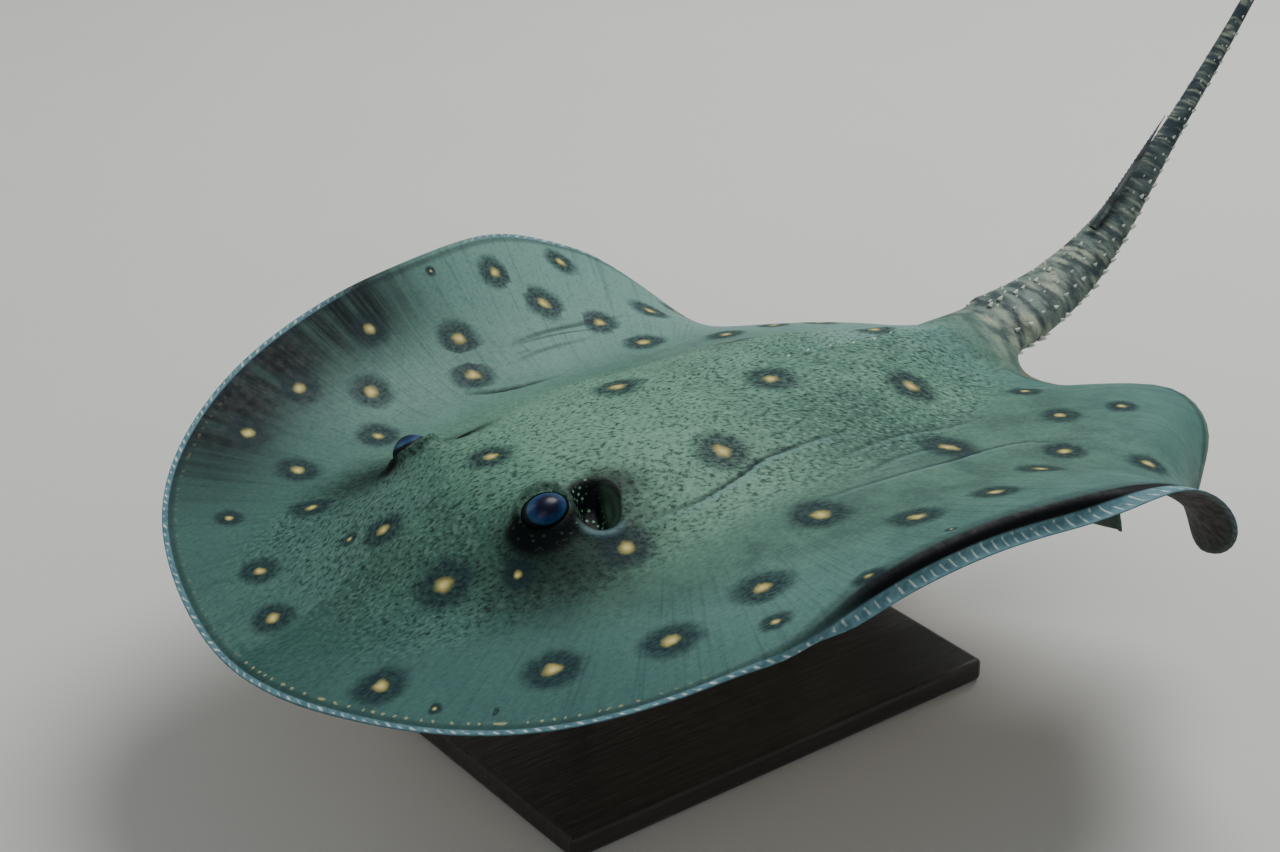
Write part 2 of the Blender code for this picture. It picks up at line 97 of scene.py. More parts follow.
def curve_at(keys, place, turn=None):
    """Read a smooth curve through (place, value) keys. With turn, it repeats after that much."""
    places, values = np.array(keys, dtype=float).T
    if turn:
        places = np.concatenate([places - turn, places, places + turn])
        values = np.tile(values, 3)
    slopes = np.gradient(values, places)
    left = np.clip(np.searchsorted(places, place, side="right") - 1, 0, len(places) - 2)
    span = places[left + 1] - places[left]
    t = np.clip((place - places[left]) / span, 0.0, 1.0)
    start = (2 * t**3 - 3 * t**2 + 1) * values[left] + (t**3 - 2 * t**2 + t) * span * slopes[left]
    end = (3 * t**2 - 2 * t**3) * values[left + 1] + (t**3 - t**2) * span * slopes[left + 1]
    return start + end


def disc_radius(angle):
    """Reach of the flat disc at an angle in degrees, 0 at the snout and 90 at the animal's left."""
    across = np.abs(np.sin(np.radians(angle))) / DISC_HALF_WIDTH
    along = np.abs(np.cos(np.radians(angle))) / DISC_HALF_LENGTH
    radius = (across**2.12 + along**2.12) ** (-1 / 2.12)
    from_snout = np.abs((angle + 180) % 360 - 180)
    radius = radius + 0.002 * bell(from_snout, 0, 10)
    radius = radius - 0.052 * np.exp(-(((180 - from_snout) / 16) ** 4))
    return radius * (1 + 0.165 * bell(from_snout, 133, 27) + 0.034 * bell(from_snout, 155, 7.5))


def polar(x, y):
    angle = np.degrees(np.arctan2(x, -y))
    return angle, np.hypot(x, y) / disc_radius(angle)


def fin_half_thickness(share):
    flat = np.clip(1 - share**2, 0, 1)
    return RIM_HALF_THICKNESS * flat**0.25 + FIN_CROWN * flat


def eye_reach(x, y):
    """1 on the edge of the eyeball seen from above, less inside it."""
    return np.hypot((np.abs(x) - EYE_X) / EYE_RADII[0], (y - EYE_MOUND_AT[1]) / EYE_RADII[1])


def spiracle_place(x, y):
    """Place in the spiracle: across it toward the outside, along it backward, and 1 on its edge."""
    out = np.abs(x) - SPIRACLE_AT[0]
    back = y - SPIRACLE_AT[1]
    across = 0.894 * out - 0.447 * back
    along = 0.447 * out + 0.894 * back
    reach = (np.abs(across) / SPIRACLE_HALF_WIDTH) ** 2.4 + (np.abs(along) / SPIRACLE_HALF_LENGTH) ** 2.4
    return across, along, reach ** (1 / 2.4)


# Folds in the skin over the edge of the fin muscles, as lines on the flat body in mm
LEFT_FOLDS = [[(66, -62), (70, -41), (68, -18), (65, -6), (64, 14), (62, 41)],
              [(96, -14), (98, 29), (97, 55), (91, 82), (93, 101), (102, 112)],
              [(79, 12), (74, 36), (67, 62), (65, 84), (63, 108)],
              [(90, 24), (83, 53), (80, 74)]]
RIGHT_FOLDS = [[(-116, -26), (-109, -8), (-106, 16)], [(-136, 10), (-139, 34), (-141, 60), (-142, 82)],
               [(-69, -36), (-70, -14), (-66, 12), (-63, 44)], [(-126, 6), (-129, 30), (-130, 54)]]
FOLD_STRENGTH = {0: 1.0, 1: 0.75, 2: 0.45, 3: 0.5}


def fold_place(x, y):
    """Distance in mm outward from the nearest fold, and how strong that fold is there."""
    nearest = np.full(len(x), 9.0)
    strength = np.zeros(len(x))
    for folds in (LEFT_FOLDS, RIGHT_FOLDS):
        for k, fold in enumerate(folds):
            steps = np.arange(len(fold), dtype=float)
            t = np.linspace(0, len(fold) - 1, 240)
            line_x, line_y = [curve_at(list(zip(steps, row)), t) / 1000 for row in zip(*fold)]
            close = np.flatnonzero((x > line_x.min() - 0.008) & (x < line_x.max() + 0.008)
                                   & (y > line_y.min() - 0.008) & (y < line_y.max() + 0.008))
            if len(close) == 0:
                continue
            away = np.hypot(x[close, None] - line_x, y[close, None] - line_y)
            best = away.argmin(axis=1)
            turn_x = np.gradient(line_x)[best]
            turn_y = np.gradient(line_y)[best]
            cross = turn_x * (y[close] - line_y[best]) - turn_y * (x[close] - line_x[best])
            outward = -np.sign(cross) * np.sign(line_x.mean()) * away[np.arange(len(close)), best] * 1000
            ends = np.sin(np.pi * np.clip(best / 239, 0.02, 0.98)) ** 0.6
            nearer = np.abs(outward) < np.abs(nearest[close])
            nearest[close[nearer]] = outward[nearer]
            reached = FOLD_STRENGTH[k] * ends * (1 - eased(np.abs(outward), 4.5, 7.5))
            strength[close[nearer]] = reached[nearer]
    return nearest, strength


def back_z(x, y, share):
    width = curve_at(BACK_HALF_WIDTH, y)
    height = fin_half_thickness(share)
    height = height + curve_at(BACK_HEIGHT, y) * np.exp(-((np.abs(x) / width) ** 2.6))
    out = np.abs(x) - EYE_MOUND_AT[0]
    return height + EYE_MOUND * bell(out, 0, 0.013) * bell(y, EYE_MOUND_AT[1], 0.013)


def back_relief(x, y):
    """What the fine shape of lids, spiracles and folds adds to the back."""
    reach = eye_reach(x, y)
    inner = eased(EYE_X - np.abs(x), -0.008, 0.006)
    lid = bell(reach, 1.14, 0.2) * (0.001 + 0.002 * inner)
    across, along, edge = spiracle_place(x, y)
    hole = SPIRACLE_DEPTH * (1 - eased(edge, 0.5, 1.0))
    valve = 0.0048 * eased(along, -0.0005, 0.0042) * (1 - eased(edge, 0.6, 0.98))
    rim = 0.0011 * bell(edge, 1.14, 0.18) * eased(across - 0.3 * np.abs(along), 0.001, 0.009)
    outward, strength = fold_place(x, y)
    fold = strength * (0.001 * bell(outward, 2.4, 1.8) - 0.0012 * bell(outward, -0.3, 1.3))
    return lid - hole + valve + rim + fold


MOUTH_Y = -0.12
MOUTH_HALF_WIDTH = 0.018
VENT_Y = 0.1275


def belly_z(x, y, share):
    width = 1.15 * curve_at(BACK_HALF_WIDTH, y)
    return -fin_half_thickness(share) - curve_at(BELLY_DEPTH, y) * np.exp(-((np.abs(x) / width) ** 3))


def gill_slit(k):
    """Middle and half length of a gill slit on the left, from the first to the fifth."""
    return 0.041 - 0.0023 * k, -0.096 + 0.0135 * k, 0.0058 - 0.0004 * k


def slit_depth(x, y):
    """How deep the mouth, nostrils, gill slits and vent are cut into the belly, from 0 to 1."""
    side = np.abs(x)
    mouth = bell(y, MOUTH_Y + 0.0035 * (side / MOUTH_HALF_WIDTH) ** 2, 0.0013)
    cuts = mouth * (1 - eased(side, MOUTH_HALF_WIDTH - 0.004, MOUTH_HALF_WIDTH))
    from_nostril = y - MOUTH_Y + 0.0095 + 0.25 * (side - 0.0145)
    nostril = np.hypot((side - 0.0145) / 0.003, from_nostril / 0.0017)
    cuts = np.maximum(cuts, 0.8 * (1 - eased(nostril, 0.3, 1.3)))
    for k in range(5):
        middle_x, middle_y, half = gill_slit(k)
        across = 0.95 * (side - middle_x) + 0.31 * (y - middle_y)
        along = -0.31 * (side - middle_x) + 0.95 * (y - middle_y) + 28 * across**2
        cut = bell(along, 0, 0.001) * (1 - eased(np.abs(across), half - 0.0025, half))
        cuts = np.maximum(cuts, 0.9 * cut)
    vent = bell(x, 0, 0.0014) * (1 - eased(np.abs(y - VENT_Y), 0.003, 0.0065))
    return np.maximum(cuts, 0.8 * vent)


def belly_relief(x, y):
    """Cuts into the belly, and the lips, nasal curtain and gill covers that stand up beside them."""
    side = np.abs(x)
    lips = 0.0014 * bell(y, MOUTH_Y + 0.0035 * (side / MOUTH_HALF_WIDTH) ** 2, 0.0048)
    lips = lips * (1 - eased(side, MOUTH_HALF_WIDTH - 0.004, MOUTH_HALF_WIDTH + 0.003))
    curtain = 0.0008 * bell(y, MOUTH_Y - 0.0062, 0.0036) * (1 - eased(side, 0.01, 0.0145))
    covers = np.zeros_like(x)
    for k in range(5):
        middle_x, middle_y, half = gill_slit(k)
        covers = covers + 0.0007 * bell(side, middle_x, half) * bell(y, middle_y - 0.003, 0.0028)
    return 0.0026 * slit_depth(x, y) - lips - curtain - covers


def tail_half_width(distance):
    return curve_at([(d, width) for d, width, _ in TAIL_SECTIONS], distance)


def tail_half_height(distance):
    return curve_at([(d, height) for d, _, height in TAIL_SECTIONS], distance)


def is_tail(x, y):
    return (y > TAIL_ROOT_Y) & (np.abs(x) < tail_half_width(y - TAIL_ROOT_Y) + 0.003)


def smooth(bm, points, turns):
    for _ in range(turns):
        bmesh.ops.smooth_vert(bm, verts=points, factor=0.5,
                              use_axis_x=True, use_axis_y=True, use_axis_z=True)


def refine(bm, wanted, cuts=1):
    """Divide the faces that are wanted, by the place of their middle on the flat body."""
    middles = np.array([face.calc_center_median() for face in bm.faces])
    chosen = wanted(middles[:, 0] * DISC_HALF_WIDTH, middles[:, 1] * DISC_HALF_LENGTH, middles[:, 2])
    edges = {edge for face, inside in zip(list(bm.faces), chosen) if inside for edge in face.edges}
    bmesh.ops.subdivide_edges(bm, edges=list(edges), cuts=cuts, use_grid_fill=True)


def flat_disc():
    bm = bmesh.new()
    bmesh.ops.create_uvsphere(bm, u_segments=256, v_segments=128, radius=1.0)
    refine(bm, lambda x, y, z: (z > 0) & (np.hypot(x / 0.122, (y + 0.012) / 0.135) < 1))
    refine(bm, lambda x, y, z: (z < 0) & (np.hypot(x / 0.056, (y + 0.085) / 0.062) < 1))
    refine(bm, lambda x, y, z: ((z > 0) & (np.abs(np.abs(x) - 0.05) < 0.024)
                                & (y > -0.11) & (y < -0.058)))
    refine(bm, lambda x, y, z: (z < 0) & (
        slit_depth(x, y) + bell(y, MOUTH_Y, 0.006) * (np.abs(x) < 0.021) > 0.15))
    sphere = np.array([vertex.co for vertex in bm.verts])
    share = np.hypot(sphere[:, 0], sphere[:, 1])
    angle = np.degrees(np.arctan2(sphere[:, 0], -sphere[:, 1]))
    reach = disc_radius(angle) * share
    x = reach * np.sin(np.radians(angle))
    y = -reach * np.cos(np.radians(angle))
    top = back_z(x, y, share) + back_relief(x, y)
    bottom = belly_z(x, y, share) + belly_relief(x, y)
    z = np.where(sphere[:, 2] > 0, top, bottom)
    z = np.where(np.abs(sphere[:, 2]) < 1e-5, 0.0, z)
    for vertex, place in zip(bm.verts, np.array([x, y, z]).T):
        vertex.co = place
    return bm


def grow_tail(bm, rings=110):
    """Open the rim at the notch and draw the opening out, ring by ring, into the tail."""
    middles = np.array([face.calc_center_median() for face in bm.faces])
    angle, share = polar(middles[:, 0], middles[:, 1])
    chosen = (np.abs(angle) > 170) & (share > 0.945)
    opening = [face for face, inside in zip(list(bm.faces), chosen) if inside]
    bmesh.ops.delete(bm, geom=opening, context="FACES")
    ring = [edge for edge in bm.edges if edge.is_boundary]
    last = (TAIL_ROOT_Y, TAIL_AXIS_Z, TAIL_SECTIONS[0][1], TAIL_SECTIONS[0][2])
    first = None
    for k in range(rings):
        distance = TAIL_FREE + (TAIL_LENGTH - TAIL_FREE) * (k / (rings - 1)) ** 1.15
        section = (TAIL_ROOT_Y + distance, TAIL_AXIS_Z, float(tail_half_width(distance)),
                   float(tail_half_height(distance)))
        grown = bmesh.ops.extrude_edge_only(bm, edges=ring)["geom"]
        ring = [g for g in grown if isinstance(g, bmesh.types.BMEdge) and g.is_boundary]
        for vertex in {v for edge in ring for v in edge.verts}:
            around = math.atan2((vertex.co.z - last[1]) / last[3], vertex.co.x / last[2])
            up = section[1] + section[3] * math.sin(around)
            vertex.co = (section[2] * math.cos(around), section[0], up)
        if first is None:
            first = [g for g in grown if isinstance(g, bmesh.types.BMFace)]
        last = section
    bmesh.ops.holes_fill(bm, edges=ring, sides=0)
    across = {e for face in first for e in face.edges
              if abs(e.verts[0].co.y - e.verts[1].co.y) > 0.008}
    bmesh.ops.subdivide_edges(bm, edges=list(across), cuts=5, use_grid_fill=True)
    root = [v for v in bm.verts if 0.134 < v.co.y < 0.178 and abs(v.co.x) < 0.038]
    smooth(bm, root, 32)
    bmesh.ops.recalc_face_normals(bm, faces=bm.faces)


PELVIC_MIDDLE = (0.064, 0.14)
PELVIC_HALF_LENGTH = 0.044
PELVIC_HALF_WIDTH = 0.024
PELVIC_SWEEP = math.radians(27)
PELVIC_DROOP = math.radians(36)


def pelvic_fins():
    """Two leaves below the rear of the disc; their roots run into the belly."""
    bm = bmesh.new()
    for side in (1, -1):
        made = bmesh.ops.create_uvsphere(bm, u_segments=56, v_segments=28, radius=1.0)["verts"]
        sphere = np.array([vertex.co for vertex in made])
        along = sphere[:, 0] * PELVIC_HALF_LENGTH
        across = sphere[:, 1] * PELVIC_HALF_WIDTH * (1 - 0.4 * sphere[:, 0])
        x = PELVIC_MIDDLE[0] + along * math.cos(PELVIC_SWEEP) - across * math.sin(PELVIC_SWEEP)
        y = PELVIC_MIDDLE[1] + along * math.sin(PELVIC_SWEEP) + across * math.cos(PELVIC_SWEEP)
        from_root = np.clip(x - 0.0285, 0, None)
        droop = math.tan(PELVIC_DROOP) * from_root**2 / (from_root + 0.015)
        rooted = 0.003 * (1 - eased(x, 0.026, 0.046))
        z = belly_z(x, y, polar(x, y)[1]) - 0.001 - droop - 0.0014 * (1 - sphere[:, 2]) + rooted
        for vertex, place in zip(made, np.array([side * x, y, z]).T):
            vertex.co = place
    bmesh.ops.recalc_face_normals(bm, faces=bm.faces)
    return bm


def put_in(name, data):
    thing = bpy.data.objects.new(name, data)
    bpy.context.scene.collection.objects.link(thing)
    return thing


def as_object(name, bm):
    mesh = bpy.data.meshes.new(name)
    bm.to_mesh(mesh)
    bm.free()
    return put_in(name, mesh)


def join_or_cut(thing, other, operation):
    modifier = thing.modifiers.new(other.name, "BOOLEAN")
    modifier.operation = operation
    modifier.object = other
    modifier.solver = "EXACT"
    bpy.context.view_layer.update()
    mesh = bpy.data.meshes.new_from_object(thing.evaluated_get(bpy.context.evaluated_depsgraph_get()))
    thing.modifiers.clear()
    thing.data = mesh
    bpy.data.objects.remove(other)


def eyeball(bm, side, grown, segments, rings):
    """Add one eyeball, larger all round by what it is grown, and return its middle."""
    x, y = np.array([EYE_MOUND_AT]).T
    mound = back_z(x, y, polar(x, y)[1])
    middle = Vector((side * EYE_X, EYE_MOUND_AT[1], float(mound[0]) - EYE_SUNK))
    size = Matrix.Diagonal((*[radius + grown for radius in EYE_RADII], 1.0))
    bmesh.ops.create_uvsphere(bm, u_segments=segments, v_segments=rings, radius=1.0,
                              matrix=Matrix.Translation(middle) @ size)
    return middle


body = flat_disc()
grow_tail(body)
flat_surface = BVHTree.FromBMesh(body)
skin = as_object("skin", body)
join_or_cut(skin, as_object("pelvic_fins", pelvic_fins()), "UNION")
sockets = bmesh.new()
for side in (1, -1):
    eyeball(sockets, side, 0.0003, 64, 40)
join_or_cut(skin, as_object("sockets", sockets), "DIFFERENCE")


# ---------------- Skin: marks that follow the body
# Every point of the flat skin remembers its place, how far in from the margin it lies, where its
# nearest eye-spot is, and how near it is to a fold. The colours are laid by these, so they bend
# and stretch with the skin. The bake map is the same flat body, cut along the margin.

# Eye-spots as (angle round the disc, share of the way to the margin, size), in rows from the margin in
SPOTS = [
    # right fin
    (-11, 0.85, 0.75), (-24, 0.875, 0.55), (-44, 0.89, 0.85), (-56, 0.87, 0.9), (-73, 0.89, 0.85),
    (-99, 0.9, 0.85), (-112, 0.93, 0.75), (-128, 0.92, 0.8), (-146, 0.9, 0.8),
    (-24, 0.72, 0.85), (-38, 0.76, 0.9), (-64, 0.76, 0.95), (-86, 0.775, 1.0), (-106, 0.8, 1.0),
    (-124, 0.8, 0.9), (-54, 0.66, 0.9), (-83, 0.67, 1.0), (-115, 0.72, 0.9), (-122, 0.6, 0.95),
    (-139, 0.74, 0.9), (-152, 0.7, 0.85), (-138, 0.56, 0.85), (-163, 0.74, 0.7),
    # left fin
    (-2, 0.88, 0.8), (19, 0.915, 1.0), (38, 0.84, 1.05), (52, 0.82, 1.05), (65, 0.746, 1.1),
    (64, 0.89, 0.6), (75, 0.925, 0.6), (91, 0.75, 1.05), (104, 0.763, 0.9), (121, 0.676, 0.95),
    (133, 0.8, 0.8), (134, 0.664, 0.85), (150, 0.8, 0.62), (148.3, 0.684, 0.8)]
# and on the head and back as (across, along, size) in mm
BACK_SPOTS = [(-18, -9, 1.0), (-2, -84, 0.85), (-6, -130, 0.75), (-17, -139, 0.34),
              (38, -132, 1.1), (55, -112, 0.55), (71, -76, 0.95), (15, 39, 1.1), (36, 94, 1.0),
              (54, -16, 1.1), (-10, 116, 0.85), (-84, 122, 0.8), (106, -12, 1.2), (82, 72, 1.15),
              (50, 145, 0.7), (-40, 62, 0.95), (-62, 24, 0.95), (-70, -68, 0.7)]
# and small pale flecks near the margin
FLECKS = [(27, 0.945, 0.28), (34, 0.945, 0.22), (88, 0.9, 0.26), (-88, 0.955, 0.26)]
SPOT_RADIUS = 0.0128


def spot_places():
    places = []
    for angle, share, size in SPOTS + FLECKS:
        reach = float(disc_radius(np.array([float(angle)]))[0]) * share
        turn = math.radians(angle)
        places.append((math.sin(turn) * reach, -math.cos(turn) * reach, size))
    return np.array(places + [(x / 1000, y / 1000, size) for x, y, size in BACK_SPOTS])


def spot_offset(x, y):
    """Offset from the nearest spot as shares of its radius, and how far apart from any spot."""
    places = spot_places()
    away = np.hypot(x[:, None] - places[:, 0], y[:, None] - places[:, 1]) / places[:, 2]
    order = np.argsort(away, axis=1)
    rows = np.arange(len(x))
    first = order[:, 0]
    near = away[rows, first]
    ratio = near / (near + away[rows, order[:, 1]])
    radius = places[first, 2] * SPOT_RADIUS
    apart = 3 * np.maximum(eased(ratio, 0.37, 0.45), eased(near / SPOT_RADIUS, 1.3, 1.7))
    offset_x = np.clip((x - places[first, 0]) / radius, -2, 2)
    offset_y = np.clip((y - places[first, 1]) / radius, -2, 2)
    return np.array([offset_x, offset_y, apart]).T


def keep(mesh, name, values):
    """Store a value with three parts at every point of a piece."""
    mesh.attributes.new(name, "FLOAT_VECTOR", "POINT").data.foreach_set(
        "vector", np.asarray(values, dtype=np.float32).ravel())


def flat_points(mesh):
    points = np.zeros(len(mesh.vertices) * 3)
    mesh.vertices.foreach_get("co", points)
    return points.reshape(-1, 3)


x, y, z = flat_points(skin.data).T
angle, share = polar(x, y)
on_tail = is_tail(x, y)
below = belly_z(x, y, share)
pelvic = (z < below - 0.0006) & (share < 0.97) & (y > 0.08) & (y < 0.2)
pelvic = pelvic & ~on_tail & (np.abs(x) > 0.0245)
distance = np.clip(y - TAIL_ROOT_Y, -0.03, None)
inward = np.clip((1 - share) * disc_radius(angle) * 1000, 0, 60)
inward = np.where(on_tail | (pelvic & (z < below - 0.0018)), 60, inward)
in_fold = level(angle, 62, 75, 114, 124)
brim_width = 2.2 + 5.2 * in_fold
under = eased(-z, -0.0004, 0.0009)
tail_under = eased(-(z - TAIL_AXIS_Z) / tail_half_height(np.clip(distance, 0, None)), 0.25, 0.75)
onto_tail = eased(distance, -0.012, 0.008) * eased(0.03 - np.abs(x), 0.0, 0.006)
under = under * (1 - onto_tail) + tail_under * onto_tail
facing = np.zeros(len(x) * 3)
skin.data.vertices.foreach_get("normal", facing)
under = np.where(pelvic, 0.2 + 0.8 * eased(-facing[2::3], -0.1, 0.4), under)
side = np.abs(x)
body_width = curve_at([(-0.21, 0.03), (-0.165, 0.058), (-0.11, 0.08), (-0.03, 0.092), (0.05, 0.088),
                       (0.11, 0.062), (0.16, 0.034), (0.24, 0.03)], y)
freckled = 1 - eased(side / body_width, 0.72, 1.12)
freckled = freckled * (1 - 0.75 * eased(-y, 0.135, 0.185))
dusk = bell(side, 0.06, 0.026) * bell(y, -0.092, 0.04)
reach = eye_reach(x, y)
front = eased(side - EYE_X - 0.55 * (y - EYE_MOUND_AT[1]), -0.004, 0.006)
black = bell(reach, 1.35, 0.52) * front
across, along, edge = spiracle_place(x, y)
black = np.maximum(black, 1 - eased(edge, 0.8, 1.06 + 0.42 * eased(-across, -0.002, 0.007)))
smoke = bell(across, -0.01, 0.011) * level(along, -0.01, 0.002, 0.006, 0.036)
black = np.maximum(black, 0.6 * smoke)
rimlight = bell(edge, 1.13, 0.1) * eased(across - 0.25 * np.abs(along), 0.005, 0.0105)
valve = eased(along, 0.0005, 0.0036) * (1 - eased(edge, 0.72, 1.0))
dotted = (1 - eased(along, 0.0, 0.003)) * (1 - eased(edge, 1.1, 1.4))
dotted = dotted + 0.16 * bell(reach, 1.3, 0.3) * front
outward, fold_strength = fold_place(x, y)

dark_edge = level(-angle, 66, 78, 92, 104)
dark_fin = level(-angle, 18, 44, 74, 92) * eased(share, 0.74, 0.93)
lengthwise = 0.58 * (0.34 * side + 0.94 * y)
for name, values in {
        "flat": [x, y, z],
        "margin": [inward, inward / brim_width, under],
        "ray": [np.abs(angle), share, angle > 0],
        "fold": [outward, fold_strength, slit_depth(x, y) * (z < 0)],
        "zone": [freckled, dusk, black],
        "spiracle": [rimlight, valve, np.clip(dotted, 0, 1)],
        "grain": [0.94 * side - 0.34 * y, lengthwise, 0.4 * x + z],
        "rim": [in_fold, dark_edge, dark_fin],
        "tail": [onto_tail, distance * 1000, pelvic]}.items():
    keep(skin.data, name, np.array(values).T)
keep(skin.data, "spot", spot_offset(x, y))


MAP_SCALE = 1.28


def lay_out(mesh, points, on_tail, pelvic):
    """The bake map: back at the left, belly at the right, tail and pelvic fins above them."""
    corners = mesh.uv_layers.new(name="OFBake").data
    normals = np.zeros(len(mesh.polygons) * 3)
    mesh.polygons.foreach_get("normal", normals)
    normals = normals.reshape(-1, 3)
    places = np.zeros((len(mesh.loops), 2), dtype=np.float32)
    for face in mesh.polygons:
        rows = list(face.vertices)
        spot = points[rows]
        up = normals[face.index, 2] > 0
        if all(on_tail[rows]):
            u = (0.06 if up else 0.2) + spot[:, 0] * MAP_SCALE
            v = 0.565 + (spot[:, 1] - TAIL_ROOT_Y) * MAP_SCALE
        elif all(pelvic[rows]):
            u = (0.42 if spot[:, 0].mean() > 0 else 0.62) + spot[:, 0] * MAP_SCALE
            v = (0.62 if up else 0.82) + (spot[:, 1] - 0.14) * MAP_SCALE
        else:
            up = spot[:, 2].mean() > 0
            u = (0.25 if up else 0.75) + spot[:, 0] * MAP_SCALE
            v = 0.275 + spot[:, 1] * MAP_SCALE
        places[face.loop_start:face.loop_start + face.loop_total, 0] = u
        places[face.loop_start:face.loop_start + face.loop_total, 1] = v
    corners.foreach_set("uv", places.ravel())


lay_out(skin.data, np.array([x, y, z]).T, on_tail, pelvic)


# ---------------- Skin: the swimming stroke
# The animal is caught in mid-stroke: right fin raised, head level, left margin rolled under, and
# the tail swept up. The flat skin is bent along ribs that run out from the middle of the disc,
# without stretching it, and then carried to its height on the stand.

FIN_LIFT = [(-180, 0), (-169, -4), (-158, -20), (-148, -26), (-135, -26), (-115, 17), (-100, 40),
            (-80, 43), (-60, 33), (-40, 19), (-20, 8), (0, -5), (20, -5), (40, -2), (60, 7),
            (80, 18), (100, 19), (116, 12), (130, 0), (145, 1), (158, -1), (168, -6)]
MARGIN_CURL = [(-180, 0), (-168, 0), (-150, -10), (-130, -6), (-100, 5), (-60, 3), (0, -2),
               (60, 1), (80, 11), (100, 3), (112, -5), (118, -14), (125, -34), (131, -58),
               (136, -74), (141, -82), (147, -68), (153, -34), (159, -10), (168, 0)]


def left_fold(angle, share):
    """Degrees that the left margin is turned down and under, before it runs out level again."""
    depth = 104 * level(angle, 46, 64, 98, 116)
    middle = 1.02 - 0.05 * eased(angle, 56, 76)
    return depth * bell(share, middle, 0.023)


def fin_slope(angle, share):
    on_left = eased(share, 0.3, 0.72)
    on_fin = on_left + (eased(share, 0.38, 0.85) - on_left) * eased(-angle, -15, 15)
    roll = 7 * np.sin(np.radians(angle)) * (1 - eased(np.abs(angle), 110, 165))
    lift = curve_at(FIN_LIFT, angle, turn=360)
    drawn_in = 0.045 * level(angle, 112, 126, 134, 148)
    curl = curve_at(MARGIN_CURL, angle, turn=360) * eased(share + drawn_in, 0.78, 0.97)
    return np.radians(roll * (1 - on_fin) + lift * on_fin + curl - left_fold(angle, share))


def tail_slope(distance):
    return np.radians(45 * eased(distance, 0.005, 0.135) + 12 * eased(distance, 0.15, TAIL_LENGTH))


def walk(slope_at, length, steps=40):
    """Go a length along a bent line, and return how far out and how far up that leads."""
    out = np.zeros_like(length)
    up = np.zeros_like(length)
    for k in range(steps):
        slope = slope_at((k + 0.5) / steps)
        out += np.cos(slope) * length / steps
        up += np.sin(slope) * length / steps
    return out, up


def pose_disc(x, y, z):
    angle, share = polar(x, y)
    out, up = walk(lambda part: fin_slope(angle, share * part), np.hypot(x, y))
    slope = fin_slope(angle, share)
    out = out - np.sin(slope) * z
    up = up + np.cos(slope) * z
    return np.sin(np.radians(angle)) * out, -np.cos(np.radians(angle)) * out, up


def pose_tail(x, y, z):
    distance = y - TAIL_ROOT_Y
    back, up = walk(lambda part: tail_slope(distance * part), distance)
    slope = tail_slope(distance)
    above = z - TAIL_AXIS_Z
    return x, TAIL_ROOT_Y + back - np.sin(slope) * above, TAIL_AXIS_Z + up + np.cos(slope) * above


BODY_HEIGHT = 0.104
TAIL_UP = math.radians(2.3)
LEFT_UP = math.radians(-1.7)
on_stand = Matrix.Translation((0, 0, BODY_HEIGHT)) @ Euler((TAIL_UP, LEFT_UP, 0)).to_matrix().to_4x4()


def take_pose(thing):
    """Carry a piece of the flat body into the stroke, and to its place on the stand."""
    x, y, z = flat_points(thing.data).T
    if "flat" not in thing.data.attributes:
        keep(thing.data, "flat", flat_points(thing.data))
    on_tail = is_tail(x, y)
    posed = np.where(on_tail, pose_tail(x, y, z), pose_disc(x, y, z)).T
    thing.data.vertices.foreach_set("co", posed.ravel())
    thing.data.transform(on_stand)
    thing.data.shade_smooth()
    thing.data.update()


def even_out(thing, turns):
    """Even out the skin where the raised tail leaves the body."""
    bm = bmesh.new()
    bm.from_mesh(thing.data)
    flat_place = bm.verts.layers.float_vector["flat"]
    root = [v for v in bm.verts if 0.13 < v[flat_place].y < 0.174 and abs(v[flat_place].x) < 0.042]
    smooth(bm, root, turns)
    bm.to_mesh(thing.data)
    bm.free()


take_pose(skin)
even_out(skin, 14)
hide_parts("head", "trunk", "pectoral_fin_left", "pectoral_fin_right", "pelvic_fin_left",
            "pelvic_fin_right", "tail_base", "tail_middle", "tail_tip")
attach(skin, "root")


# ---------------- Skin: colour and surface
# Moist, finely grained skin: grey-green above with dark freckles on head and back, ringed yellow
# spots, streaked fins with a pale blue edge, and a cream belly with a grey-brown border. All
# layers are painted over one another in a single finish.

